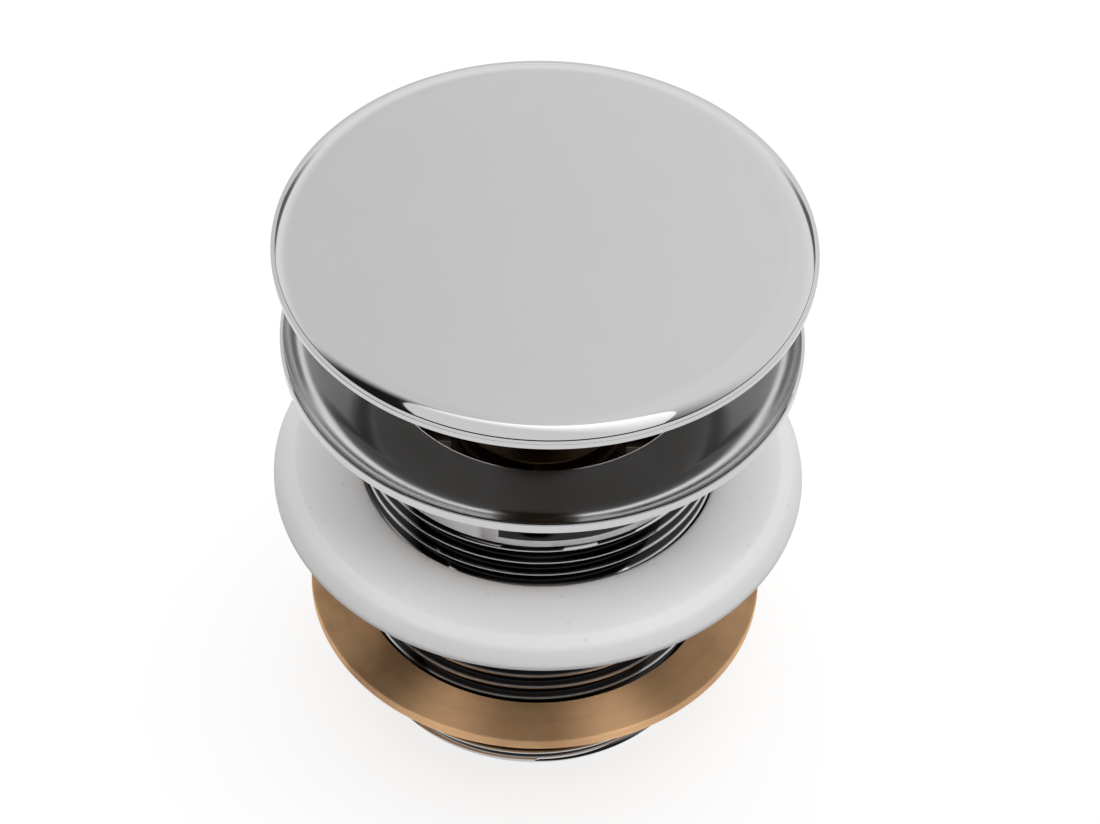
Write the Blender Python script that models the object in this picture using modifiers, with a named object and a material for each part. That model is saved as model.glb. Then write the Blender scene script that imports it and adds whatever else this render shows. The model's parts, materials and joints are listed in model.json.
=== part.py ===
"""Click-clack bath waste: a full-cover cap on a sprung cartridge, held by a spider in a
threaded chrome body, with a loose conical washer and a thin backnut on the thread.

Metres, +Z up. The origin is the centre of the tail's lower end, on the common axis."""

import math

import bmesh
import bpy
from mathutils import Matrix

MM = 0.001

# Running and seating gap between pieces that touch, the distance at which points merge,
# and how far a cutter goes past a face
GAP = 0.3 * MM
WELD = 0.001 * MM
PAST = 1.0 * MM

# Pipe thread G 1 1/2 on the tail
THREAD_R = 23.9 * MM
THREAD_PITCH = 2.309 * MM
THREAD_DEPTH = 1.45 * MM
THREAD_CREST = 0.45 * MM
THREAD_PHASE = 41.91 * MM
THREAD_RUNOUT_TURNS = 0.28

# Waste body
TAIL_LENGTH = 45.2 * MM
TAIL_WALL = 1.6 * MM
TAIL_CHAMFER = 0.8 * MM
NECK_LENGTH = 9.4 * MM
LEDGE_WIDTH = 1.0 * MM
SEAT_WIDTH = 3.6 * MM
THROAT_WALL = 2.25 * MM
THROAT_ROUND = 0.5 * MM
DISH_DEPTH = 4.25 * MM
DISH_SLOPE = 0.10
DISH_SKIRT = 5.85 * MM
FLANGE_R = 34.6 * MM
LIP_R = 0.45 * MM
LIP_HEIGHT = 1.7 * MM
WINDOW_SILL = 1.1 * MM
WINDOW_HEIGHT = 6.4 * MM
WINDOW_WIDTH = 20.0 * MM
WINDOW_TURN = math.radians(13.0)

# Spider that carries the cartridge in the bore
SPIDER_HEIGHT = 3.5 * MM
SPIDER_DROP = 1.2 * MM
SPIDER_RIM = 1.3 * MM
SPIDER_ARM = 3.0 * MM
SPIDER_ARM_INSET = 0.2 * MM
HUB_WALL = 2.4 * MM

# Cartridge, from the rod outwards
ROD_R = 4.0 * MM
PISTON_R = 6.0 * MM
PISTON_HEIGHT = 4.0 * MM
SLEEVE_WALL = 1.2 * MM
SLEEVE_NECK = 3.0 * MM
HOUSING_WALL = 1.4 * MM
HOUSING_LENGTH = 34.5 * MM
COLLAR_WIDTH = 2.4 * MM
COLLAR_HEIGHT = 2.5 * MM
GASKET_THICK = 0.9 * MM
LOCKNUT_HEIGHT = 3.5 * MM
LOCKNUT_WALL = 2.3 * MM
LOCKNUT_TURN = math.radians(30.0)
BASE_HEIGHT = 2.7 * MM
BASE_SPIGOT = 2.0 * MM
DRAIN_R = 1.6 * MM
CLIP_WIRE_R = 0.35 * MM
CLIP_TURNS = 0.89
CLIP_STEPS = 22
ROTOR_HEIGHT = 5.0 * MM
ROTOR_PIN_R = 2.0 * MM
TOOTH_COUNT = 8
TOOTH_DEPTH = 1.5 * MM
ORING_WIRE_R = 0.45 * MM
SPRING_WIRE_R = 0.5 * MM
SPRING_R = 5.4 * MM
SPRING_TURNS = 6

# Cap and the plug under it
CAP_R = 35.5 * MM
CAP_LIFT = 15.05 * MM
CAP_BEAD = 0.85 * MM
CAP_CREASE = 0.5 * MM
CAP_CREASE_GAP = 0.1 * MM
CAP_SHOULDER_R = 5.0 * MM
CAP_SHOULDER_START = math.radians(3.7)
CAP_SHOULDER_END = math.radians(38.0)
CAP_DOME = 1.05 * MM
CAP_PLATE = 2.15 * MM
CAP_RIM = 1.2 * MM
BOSS_R = 6.5 * MM
BOSS_HEIGHT = 0.7 * MM
STUD_R = 2.5 * MM
STUD_GRIP = 10.0 * MM
STUD_IN_CAP = 1.6 * MM
CAP_LOCKNUT_HEIGHT = 2.6 * MM
CAP_LOCKNUT_R = 5.5 * MM
CARRIER_THICK = 1.8 * MM
CARRIER_R = 21.8 * MM
SEAL_THICK = 1.8 * MM
SEAL_R = 23.1 * MM
SEAL_WIDTH = 6.0 * MM
RETAINER_THICK = 1.8 * MM
RETAINER_SIDE_GAP = 0.6 * MM

# Loose washer and backnut on the thread
WASHER_Z = 33.9 * MM
WASHER_R = 35.9 * MM
WASHER_TOP_R = 33.2 * MM
WASHER_THICK = 4.1 * MM
WASHER_EDGE = 0.5 * MM
BACKNUT_Z = 9.0 * MM
BACKNUT_R = 31.1 * MM
BACKNUT_FLANGE = 1.65 * MM
BACKNUT_CHAMFER = 0.7 * MM
BACKNUT_HUB_WALL = 2.75 * MM
BACKNUT_HUB = 3.35 * MM
BACKNUT_NOTCH = 5.0 * MM

# Facets round each turned piece
BODY_STEPS = 32
CAP_STEPS = 40
SMALL_STEPS = 24
WIRE_STEPS = 6
SPRING_STEPS = 10

# Radii that follow
ROOT_R = THREAD_R - THREAD_DEPTH
BORE_R = ROOT_R - TAIL_WALL
TAIL_BORE_R = BORE_R - LEDGE_WIDTH
SEAT_R = THREAD_R + SEAT_WIDTH
ON_THREAD_R = THREAD_R + GAP
SLEEVE_BORE_R = PISTON_R + GAP
SLEEVE_R = SLEEVE_BORE_R + SLEEVE_WALL
HOUSING_BORE_R = SLEEVE_R + GAP
HOUSING_R = HOUSING_BORE_R + HOUSING_WALL
HUB_BORE_R = HOUSING_R + GAP
HUB_R = HUB_BORE_R + HUB_WALL
COLLAR_R = HOUSING_R + COLLAR_WIDTH
ROD_HOLE_R = ROD_R + GAP
STUD_HOLE_R = STUD_R + GAP

# Heights that follow, from the tail up
SEAT_Z = TAIL_LENGTH + NECK_LENGTH
THROAT_Z = SEAT_Z + THROAT_WALL
LIP_Z = THROAT_Z + DISH_DEPTH
WINDOW_Z = TAIL_LENGTH + WINDOW_SILL
SPIDER_TOP = TAIL_LENGTH - SPIDER_DROP
SPIDER_BOTTOM = SPIDER_TOP - SPIDER_HEIGHT
LEDGE_Z = SPIDER_BOTTOM - GAP
GASKET_BOTTOM = SPIDER_TOP + GAP
COLLAR_BOTTOM = GASKET_BOTTOM + GASKET_THICK + GAP
HOUSING_TOP = COLLAR_BOTTOM + COLLAR_HEIGHT
HOUSING_BOTTOM = COLLAR_BOTTOM - HOUSING_LENGTH
CLIP_Z = HOUSING_TOP - 2.5 * CLIP_WIRE_R
SLEEVE_TOP = CLIP_Z - CLIP_WIRE_R - GAP
PISTON_TOP = SLEEVE_TOP - SLEEVE_NECK - GAP
PISTON_BOTTOM = PISTON_TOP - PISTON_HEIGHT
SLEEVE_BOTTOM = PISTON_BOTTOM
ROTOR_TOP = SLEEVE_BOTTOM - GAP
ROTOR_BOTTOM = ROTOR_TOP - ROTOR_HEIGHT
BASE_TOP = HOUSING_BOTTOM + BASE_SPIGOT
LOCKNUT_TOP = SPIDER_BOTTOM - GAP

# Heights of the cap and plug, from the cap's edge down
CAP_Z = LIP_Z + CAP_LIFT
CREASE_Z = CAP_Z + CAP_BEAD + CAP_CREASE_GAP
SHOULDER_RISE = CAP_SHOULDER_R * (math.cos(CAP_SHOULDER_START) - math.cos(CAP_SHOULDER_END))
CAP_TOP = CREASE_Z + SHOULDER_RISE + CAP_DOME
RECESS_Z = CAP_TOP - CAP_PLATE
BOSS_Z = RECESS_Z - BOSS_HEIGHT
CAP_LOCKNUT_TOP = BOSS_Z - GAP
CARRIER_TOP = CAP_LOCKNUT_TOP - CAP_LOCKNUT_HEIGHT - GAP
SEAL_TOP = CARRIER_TOP - CARRIER_THICK - GAP
RETAINER_TOP = SEAL_TOP - SEAL_THICK - GAP
ROD_TOP = CARRIER_TOP


for old in list(bpy.data.objects):
    bpy.data.objects.remove(old, do_unlink=True)

PARTS = bpy.data.collections.new("bath_waste")
CUTTERS = bpy.data.collections.new("bath_waste_cutters")
bpy.context.scene.collection.children.link(PARTS)
bpy.context.scene.collection.children.link(CUTTERS)


def material(name, color, roughness, metallic):
    """A plain Principled material."""
    mat = bpy.data.materials.new(name)
    mat.use_nodes = True
    shader = mat.node_tree.nodes["Principled BSDF"]
    shader.inputs["Base Color"].default_value = (*color, 1.0)
    shader.inputs["Roughness"].default_value = roughness
    shader.inputs["Metallic"].default_value = metallic
    mat.diffuse_color = (*color, 1.0)
    return mat


CHROME = material("chrome", (0.78, 0.78, 0.80), 0.05, 1.0)
BRASS = material("brass", (0.62, 0.42, 0.20), 0.32, 1.0)
STEEL = material("steel", (0.62, 0.62, 0.60), 0.25, 1.0)
WASHER_PLASTIC = material("washer_plastic", (0.86, 0.86, 0.85), 0.45, 0.0)
BLACK_RUBBER = material("black_rubber", (0.03, 0.03, 0.03), 0.6, 0.0)
WHITE_PLASTIC = material("white_plastic", (0.80, 0.80, 0.78), 0.4, 0.0)
RED_FIBRE = material("red_fibre", (0.45, 0.12, 0.08), 0.8, 0.0)


def place(name, mesh, mat, collection=PARTS):
    """Put a mesh in the scene as one object."""
    obj = bpy.data.objects.new(name, mesh)
    collection.objects.link(obj)
    if mat is not None:
        mesh.materials.append(mat)
    return obj


def arc(centre_r, centre_z, radius_r, radius_z, start, end, count):
    """Points (r, z) along an elliptical arc, angles in degrees from the outward direction."""
    points = []
    for i in range(count + 1):
        angle = math.radians(start + (end - start) * i / count)
        points.append((centre_r + radius_r * math.cos(angle), centre_z + radius_z * math.sin(angle)))
    return points


def turned(name, outline, mat, steps=SMALL_STEPS, collection=PARTS):
    """Turn an outline of (r, z) points round Z. It runs down its outer side, and it is closed
    unless both its ends are on the axis."""
    mesh = bpy.data.meshes.new(name)
    on_axis = outline[0][0] == 0.0 and outline[-1][0] == 0.0
    edges = [(i, i + 1) for i in range(len(outline) - 1)]
    if not on_axis:
        edges.append((len(outline) - 1, 0))
    mesh.from_pydata([(r, 0.0, z) for r, z in outline], edges, [])
    obj = place(name, mesh, mat, collection)
    screw = obj.modifiers.new("turn", "SCREW")
    screw.steps = steps
    screw.render_steps = steps
    screw.use_merge_vertices = True
    screw.merge_threshold = WELD
    return obj


def ring(name, inner, outer, bottom, top, mat, steps=SMALL_STEPS, collection=PARTS):
    """A plain turned ring of rectangular section."""
    outline = [(inner, top), (outer, top), (outer, bottom), (inner, bottom)]
    return turned(name, outline, mat, steps, collection)


def prism(name, sides, radius, bottom, top, turn=0.0, mat=None, collection=CUTTERS):
    """An upright prism of a regular polygon, or a cylinder when it has many sides."""
    mesh = bpy.data.meshes.new(name)
    form = bmesh.new()
    place_at = Matrix.Translation((0.0, 0.0, (bottom + top) / 2)) @ Matrix.Rotation(turn, 4, "Z")
    bmesh.ops.create_cone(
        form, cap_ends=True, segments=sides, radius1=radius, radius2=radius,
        depth=top - bottom, matrix=place_at,
    )
    form.to_mesh(mesh)
    form.free()
    return place(name, mesh, mat, collection)


def bar(name, size, centre, turn=0.0, mat=None, collection=CUTTERS):
    """A rectangular bar, turned about Z after it is placed."""
    mesh = bpy.data.meshes.new(name)
    form = bmesh.new()
    place_at = Matrix.Rotation(turn, 4, "Z") @ Matrix.Translation(centre) @ Matrix.Diagonal((*size, 1.0))
    bmesh.ops.create_cube(form, size=1.0, matrix=place_at)
    form.to_mesh(mesh)
    form.free()
    return place(name, mesh, mat, collection)


def notch_bar(name, depth, length, face_z, turn):
    """A square bar on edge that lies across the axis and cuts two opposite V notches."""
    side = depth * math.sqrt(2.0)
    mesh = bpy.data.meshes.new(name)
    form = bmesh.new()
    on_edge = Matrix.Rotation(math.pi / 4, 4, "X") @ Matrix.Diagonal((length, side, side, 1.0))
    place_at = Matrix.Rotation(turn, 4, "Z") @ Matrix.Translation((0.0, 0.0, face_z)) @ on_edge
    bmesh.ops.create_cube(form, size=1.0, matrix=place_at)
    form.to_mesh(mesh)
    form.free()
    return place(name, mesh, None, CUTTERS)


def combine(obj, other, operation):
    """Join or cut with another object, which then stays hidden among the cutters."""
    step = obj.modifiers.new(operation.lower(), "BOOLEAN")
    step.operation = operation
    step.solver = "EXACT"
    step.object = other
    for holder in list(other.users_collection):
        holder.objects.unlink(other)
    CUTTERS.objects.link(other)
    other.hide_render = True
    other.display_type = "WIRE"


def tube_mesh(name, path, radius, cyclic, mat):
    """A round wire along a path of points, as a closed mesh."""
    curve = bpy.data.curves.new(name, "CURVE")
    curve.dimensions = "3D"
    curve.bevel_depth = radius
    curve.bevel_resolution = 2
    curve.use_fill_caps = not cyclic
    spline = curve.splines.new("POLY")
    spline.points.add(len(path) - 1)
    spline.use_cyclic_u = cyclic
    for point, co in zip(spline.points, path):
        point.co = (*co, 1.0)
    source = bpy.data.objects.new(name + "_path", curve)
    CUTTERS.objects.link(source)
    bpy.context.view_layer.update()
    evaluated = source.evaluated_get(bpy.context.evaluated_depsgraph_get())
    mesh = bpy.data.meshes.new_from_object(evaluated)
    bpy.data.objects.remove(source, do_unlink=True)
    form = bmesh.new()
    form.from_mesh(mesh)
    bmesh.ops.remove_doubles(form, verts=form.verts, dist=WELD)
    bmesh.ops.recalc_face_normals(form, faces=form.faces)
    form.to_mesh(mesh)
    form.free()
    mesh.name = name
    return place(name, mesh, mat)


def dish_side():
    """Points (r, z) up the dish's inner face: a nearly flat floor, then an arc up to the lip."""
    floor_r = BORE_R + THROAT_ROUND
    bend_r = FLANGE_R - LIP_R - DISH_SKIRT
    bend_z = THROAT_Z + DISH_SLOPE * (bend_r - floor_r)
    start = math.atan(DISH_SLOPE)
    end = 2 * math.atan2(LIP_Z - bend_z, DISH_SKIRT) - start
    skirt_r = DISH_SKIRT / (math.sin(end) - math.sin(start))
    centre_r = bend_r - skirt_r * math.sin(start)
    centre_z = bend_z + skirt_r * math.cos(start)
    skirt = arc(centre_r, centre_z, skirt_r, skirt_r, math.degrees(start) - 90, math.degrees(end) - 90, 6)
    return [(floor_r, THROAT_Z)] + skirt[:-1]


def thread_groove():
    """The V groove between the crests: one right-hand coil that starts below the tail and
    runs out under the windows."""
    outer_r = THREAD_R + GAP / 2
    shallow_r = THREAD_R + GAP / 3
    half_at_crest = (THREAD_PITCH - THREAD_CREST) / 2
    half_outer = half_at_crest * (outer_r - ROOT_R) / THREAD_DEPTH
    # the crest passes the front, at -90 degrees, at THREAD_PHASE
    crest_at_zero = THREAD_PHASE + THREAD_PITCH / 4
    first = math.floor((0.0 - crest_at_zero) / THREAD_PITCH) - 1
    start_z = crest_at_zero + (first + 0.5) * THREAD_PITCH
    turns = (TAIL_LENGTH - half_at_crest - start_z) / THREAD_PITCH
    steps = int(turns * BODY_STEPS)
    form = bmesh.new()
    rings = []
    for i in range(steps + 1):
        angle = 2 * math.pi * (i + 0.5) / BODY_STEPS
        height = start_z + THREAD_PITCH * (i + 0.5) / BODY_STEPS
        left = (steps - i) / BODY_STEPS
        fade = min(1.0, left / THREAD_RUNOUT_TURNS)
        root_r = shallow_r - (shallow_r - ROOT_R) * fade
        corners = [(root_r, 0.0), (outer_r, -half_outer), (outer_r, half_outer)]
        rings.append([
            form.verts.new((r * math.cos(angle), r * math.sin(angle), height + dz))
            for r, dz in corners
        ])
    for near, far in zip(rings, rings[1:]):
        for k in range(3):
            n = (k + 1) % 3
            form.faces.new((near[k], near[n], far[n], far[k]))
    form.faces.new(rings[0])
    form.faces.new(reversed(rings[-1]))
    bmesh.ops.recalc_face_normals(form, faces=form.faces)
    mesh = bpy.data.meshes.new("thread_groove")
    form.to_mesh(mesh)
    form.free()
    return place("thread_groove", mesh, None, CUTTERS)


def waste_body():
    """Cast and turned body: dished flange, throat, windowed neck and threaded tail."""
    lip_inner = FLANGE_R - LIP_R
    underside_r = FLANGE_R - LIP_R / 3
    underside_z = LIP_Z - LIP_HEIGHT
    outline = arc(lip_inner, LIP_Z - LIP_R, LIP_R, LIP_R, 90, 0, 3)
    outline += [
        (underside_r, underside_z),
        (SEAT_R, SEAT_Z),
        (THREAD_R, SEAT_Z),
        (THREAD_R, TAIL_CHAMFER),
        (THREAD_R - TAIL_CHAMFER, 0.0),
        (TAIL_BORE_R, 0.0),
        (TAIL_BORE_R, LEDGE_Z),
        (BORE_R, LEDGE_Z),
        (BORE_R, THROAT_Z - THROAT_ROUND),
    ]
    outline += dish_side()
    body = turned("waste_body", outline, CHROME, BODY_STEPS)
    combine(body, thread_groove(), "DIFFERENCE")
    window_centre = (0.0, 0.0, WINDOW_Z + WINDOW_HEIGHT / 2)
    for i in range(2):
        size = (WINDOW_WIDTH, 3 * THREAD_R, WINDOW_HEIGHT)
        cutter = bar(f"window_cutter_{i + 1}", size, window_centre, WINDOW_TURN + i * math.pi / 2)
        combine(body, cutter, "DIFFERENCE")
    return body


def strainer_spider():
    """Four-armed insert that rests on the ledge in the bore and carries the cartridge."""
    rim_r = BORE_R - GAP
    spider = ring("strainer_spider", rim_r - SPIDER_RIM, rim_r, SPIDER_BOTTOM, SPIDER_TOP, BRASS, BODY_STEPS)
    span = 2 * (rim_r - SPIDER_RIM / 2)
    centre = (0.0, 0.0, (SPIDER_TOP + SPIDER_BOTTOM) / 2)
    for i in range(2):
        size = (span, SPIDER_ARM, SPIDER_HEIGHT - 2 * SPIDER_ARM_INSET * (i + 1))
        combine(spider, bar(f"spider_arm_{i + 1}", size, centre, i * math.pi / 2), "UNION")
    hub = prism("spider_hub", SMALL_STEPS, HUB_R, SPIDER_BOTTOM, SPIDER_TOP)
    combine(spider, hub, "UNION")
    bore = prism("spider_bore", SMALL_STEPS, HUB_BORE_R, SPIDER_BOTTOM - PAST, SPIDER_TOP + PAST)
    combine(spider, bore, "DIFFERENCE")
    return spider


def cartridge_housing():
    """Barrel with a collar that sits on the spider, and a groove for the retaining clip."""
    groove_r = HOUSING_BORE_R + 2 * CLIP_WIRE_R
    groove_half = CLIP_WIRE_R + GAP
    outline = [
        (HOUSING_BORE_R, HOUSING_TOP),
        (COLLAR_R, HOUSING_TOP),
        (COLLAR_R, COLLAR_BOTTOM),
        (HOUSING_R, COLLAR_BOTTOM),
        (HOUSING_R, HOUSING_BOTTOM),
        (HOUSING_BORE_R, HOUSING_BOTTOM),
        (HOUSING_BORE_R, CLIP_Z - groove_half),
        (groove_r, CLIP_Z - groove_half),
        (groove_r, CLIP_Z + groove_half),
        (HOUSING_BORE_R, CLIP_Z + groove_half),
    ]
    return turned("cartridge_housing", outline, BRASS)


def guide_sleeve():
    """Plastic sleeve that guides the rod; the teeth on its lower rim index the rotor."""
    outline = [
        (ROD_HOLE_R, SLEEVE_TOP),
        (SLEEVE_R, SLEEVE_TOP),
        (SLEEVE_R, SLEEVE_BOTTOM),
        (SLEEVE_BORE_R, SLEEVE_BOTTOM),
        (SLEEVE_BORE_R, PISTON_TOP + GAP),
        (ROD_HOLE_R, PISTON_TOP + GAP),
    ]
    sleeve = turned("guide_sleeve", outline, WHITE_PLASTIC)
    cut_teeth(sleeve, SLEEVE_BOTTOM)
    return sleeve


def cut_teeth(obj, face_z):
    """Cut V notches across a ring's end face, two by each bar."""
    for i in range(TOOTH_COUNT // 2):
        turn = 2 * math.pi * i / TOOTH_COUNT + math.pi / TOOTH_COUNT
        cutter = notch_bar(f"{obj.name}_notch_{i + 1}", TOOTH_DEPTH, 4 * SLEEVE_R, face_z, turn)
        combine(obj, cutter, "DIFFERENCE")


def index_rotor():
    """Toothed rotor that turns on the plunger's tail pin, one eighth of a turn a stroke."""
    rotor = ring(
        "index_rotor", ROTOR_PIN_R + GAP, HOUSING_BORE_R - 2 * GAP, ROTOR_BOTTOM, ROTOR_TOP, WHITE_PLASTIC
    )
    cut_teeth(rotor, ROTOR_TOP)
    return rotor


def plunger():
    """Rod with a socket for the cap's stud, a grooved piston and a tail pin for the rotor."""
    groove_r = PISTON_R - 2 * ORING_WIRE_R - GAP
    groove_half = ORING_WIRE_R + GAP
    groove_z = PISTON_BOTTOM + PISTON_HEIGHT / 2
    pin_bottom = ROTOR_BOTTOM + GAP
    outline = [
        (0.0, ROD_TOP - STUD_GRIP - GAP),
        (STUD_HOLE_R, ROD_TOP - STUD_GRIP - GAP),
        (STUD_HOLE_R, ROD_TOP),
        (ROD_R, ROD_TOP),
        (ROD_R, PISTON_TOP),
        (PISTON_R, PISTON_TOP),
        (PISTON_R, groove_z + groove_half),
        (groove_r, groove_z + groove_half),
        (groove_r, groove_z - groove_half),
        (PISTON_R, groove_z - groove_half),
        (PISTON_R, PISTON_BOTTOM),
        (ROTOR_PIN_R, PISTON_BOTTOM),
        (ROTOR_PIN_R, pin_bottom),
        (0.0, pin_bottom),
    ]
    return turned("plunger", outline, BRASS)


def coil_path(radius, low, high, turns, steps):
    """Points up a coil round the axis, with this many steps a turn."""
    count = round(turns * steps)
    path = []
    for i in range(count + 1):
        angle = 2 * math.pi * i / steps
        height = low + (high - low) * i / count
        path.append((radius * math.cos(angle), radius * math.sin(angle), height))
    return path


def plunger_oring():
    """Rubber ring in the piston's groove."""
    ring_r = PISTON_R - ORING_WIRE_R
    outline = arc(ring_r, PISTON_BOTTOM + PISTON_HEIGHT / 2, ORING_WIRE_R, ORING_WIRE_R, 90, -270, WIRE_STEPS)
    return turned("plunger_oring", outline[:-1], BLACK_RUBBER)


def retaining_clip():
    """Open wire ring in the housing's groove, over the sleeve."""
    path = coil_path(HOUSING_BORE_R, CLIP_Z, CLIP_Z, CLIP_TURNS, CLIP_STEPS)
    return tube_mesh("retaining_clip", path, CLIP_WIRE_R, False, STEEL)


def return_spring():
    """Coil spring between the cartridge's base and the rotor."""
    low = BASE_TOP + GAP + SPRING_WIRE_R
    high = ROTOR_BOTTOM - GAP - SPRING_WIRE_R
    path = coil_path(SPRING_R, low, high, SPRING_TURNS, SPRING_STEPS)
    return tube_mesh("return_spring", path, SPRING_WIRE_R, False, STEEL)


def cartridge_base():
    """Cap that closes the barrel's lower end, with a drain hole and a spigot for the spring."""
    flange_top = HOUSING_BOTTOM - GAP
    spigot_r = HOUSING_BORE_R - GAP
    outline = [
        (DRAIN_R, BASE_TOP),
        (spigot_r, BASE_TOP),
        (spigot_r, flange_top),
        (HOUSING_R, flange_top),
        (HOUSING_R, flange_top - BASE_HEIGHT),
        (DRAIN_R, flange_top - BASE_HEIGHT),
    ]
    return turned("cartridge_base", outline, BRASS)


def cartridge_locknut():
    """Hexagon nut under the spider."""
    bottom = LOCKNUT_TOP - LOCKNUT_HEIGHT
    corner_r = (HUB_BORE_R + LOCKNUT_WALL) / math.cos(math.pi / 6)
    nut = prism("cartridge_locknut", 6, corner_r, bottom, LOCKNUT_TOP, LOCKNUT_TURN, BRASS, PARTS)
    bore = prism("locknut_bore", SMALL_STEPS, HUB_BORE_R, bottom - PAST, LOCKNUT_TOP + PAST)
    combine(nut, bore, "DIFFERENCE")
    return nut


def cap():
    """Full-cover cap: shallow dome, rounded shoulder, beaded edge and a recessed underside."""
    crease_r = CAP_R - CAP_CREASE
    centre_r = crease_r - CAP_SHOULDER_R * math.sin(CAP_SHOULDER_END)
    centre_z = CREASE_Z - CAP_SHOULDER_R * math.cos(CAP_SHOULDER_END)
    shoulder_r = centre_r + CAP_SHOULDER_R * math.sin(CAP_SHOULDER_START)
    start = 90 - math.degrees(CAP_SHOULDER_START)
    end = 90 - math.degrees(CAP_SHOULDER_END)
    dome_steps = 4
    outline = []
    for i in range(dome_steps):
        radius = shoulder_r * i / dome_steps
        outline.append((radius, CAP_TOP - CAP_DOME * (radius / shoulder_r) ** 2))
    outline += arc(centre_r, centre_z, CAP_SHOULDER_R, CAP_SHOULDER_R, start, end, 5)
    outline += arc(crease_r, CAP_Z + CAP_BEAD / 2, CAP_CREASE, CAP_BEAD / 2, 70, -90, 3)
    outline += [
        (CAP_R - CAP_RIM, CAP_Z),
        (CAP_R - CAP_RIM - CAP_CREASE, RECESS_Z),
        (BOSS_R, RECESS_Z),
        (BOSS_R, BOSS_Z),
        (STUD_HOLE_R, BOSS_Z),
        (STUD_HOLE_R, RECESS_Z + STUD_IN_CAP / 2 + GAP),
        (0.0, RECESS_Z + STUD_IN_CAP / 2 + GAP),
    ]
    return turned("cap", outline, CHROME, CAP_STEPS)


def cap_stud():
    """Stud between the cap's boss and the plunger's socket."""
    top = RECESS_Z + STUD_IN_CAP / 2
    return prism("cap_stud", SMALL_STEPS, STUD_R, ROD_TOP - STUD_GRIP, top, 0.0, STEEL, PARTS)


def cap_locknut():
    """Thin hexagon nut that locks the stud under the cap."""
    bottom = CAP_LOCKNUT_TOP - CAP_LOCKNUT_HEIGHT
    nut = prism("cap_locknut", 6, CAP_LOCKNUT_R, bottom, CAP_LOCKNUT_TOP, 0.0, BRASS, PARTS)
    bore = prism("cap_locknut_bore", SMALL_STEPS, STUD_HOLE_R, bottom - PAST, CAP_LOCKNUT_TOP + PAST)
    combine(nut, bore, "DIFFERENCE")
    return nut


def plug():
    """Seal carrier, rubber seal and retainer ring, stacked on the rod."""
    ring("seal_carrier", ROD_HOLE_R, CARRIER_R, CARRIER_TOP - CARRIER_THICK, CARRIER_TOP, WHITE_PLASTIC)
    seal_low = SEAL_TOP - SEAL_THICK
    outline = [
        (SEAL_R - SEAL_WIDTH, SEAL_TOP),
        (SEAL_R - SEAL_THICK / 2, SEAL_TOP),
        (SEAL_R, SEAL_TOP - SEAL_THICK / 2),
        (SEAL_R - SEAL_THICK / 2, seal_low),
        (SEAL_R - SEAL_WIDTH, seal_low),
    ]
    turned("plug_seal", outline, BLACK_RUBBER)
    retainer_r = BORE_R - RETAINER_SIDE_GAP
    ring("seal_retainer", ROD_HOLE_R, retainer_r, RETAINER_TOP - RETAINER_THICK, RETAINER_TOP, WHITE_PLASTIC)


def backing_washer():
    """Soft conical washer, loose on the thread."""
    top = WASHER_Z + WASHER_THICK
    outline = [
        (ON_THREAD_R, top),
        (WASHER_TOP_R - WASHER_EDGE, top),
        (WASHER_TOP_R, top - WASHER_EDGE / 2),
        (WASHER_R, WASHER_Z + WASHER_EDGE),
        (WASHER_R - WASHER_EDGE, WASHER_Z),
        (ON_THREAD_R, WASHER_Z),
    ]
    return turned("backing_washer", outline, WASHER_PLASTIC, BODY_STEPS)


def backnut():
    """Thin turned nut with a chamfered flange and a notched hub below."""
    hub_r = ON_THREAD_R + BACKNUT_HUB_WALL
    flange_z = BACKNUT_Z + BACKNUT_HUB
    top = flange_z + BACKNUT_FLANGE
    lower_chamfer = BACKNUT_FLANGE - 1.5 * BACKNUT_CHAMFER
    outline = [
        (ON_THREAD_R, top),
        (BACKNUT_R - BACKNUT_CHAMFER, top),
        (BACKNUT_R, top - BACKNUT_CHAMFER),
        (BACKNUT_R, flange_z + lower_chamfer),
        (BACKNUT_R - lower_chamfer, flange_z),
        (hub_r, flange_z),
        (hub_r, BACKNUT_Z),
        (ON_THREAD_R, BACKNUT_Z),
    ]
    nut = turned("backnut", outline, BRASS, BODY_STEPS)
    notch_height = BACKNUT_HUB * 0.7
    for i in range(2):
        size = (BACKNUT_NOTCH, 3 * BACKNUT_R, notch_height * 2)
        cutter = bar(f"nut_notch_{i + 1}", size, (0.0, 0.0, BACKNUT_Z), i * math.pi / 2)
        combine(nut, cutter, "DIFFERENCE")
    return nut


def finish(obj):
    """Apply the modifiers and shade the round faces smooth."""
    evaluated = obj.evaluated_get(bpy.context.evaluated_depsgraph_get())
    mesh = bpy.data.meshes.new_from_object(evaluated)
    form = bmesh.new()
    form.from_mesh(mesh)
    bmesh.ops.remove_doubles(form, verts=form.verts, dist=WELD)
    form.to_mesh(mesh)
    form.free()
    obj.modifiers.clear()
    obj.data = mesh
    mesh.name = obj.name
    mesh.shade_smooth()
    mesh.set_sharp_from_angle(angle=math.radians(32.0))


waste_body()
strainer_spider()
cartridge_housing()
ring("cartridge_gasket", HUB_BORE_R, COLLAR_R, GASKET_BOTTOM, GASKET_BOTTOM + GASKET_THICK, RED_FIBRE)
guide_sleeve()
retaining_clip()
return_spring()
cartridge_base()
cartridge_locknut()
plunger()
plunger_oring()
index_rotor()
cap()
cap_stud()
cap_locknut()
plug()
backing_washer()
backnut()

bpy.context.view_layer.update()
for part in list(PARTS.objects):
    finish(part)
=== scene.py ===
"""Looks of a click-clack bath waste: full-cover cap, dished flange, threaded tail, washer, nut."""
import json
import math

import bmesh
import bpy
from mathutils import Matrix, Vector

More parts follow.
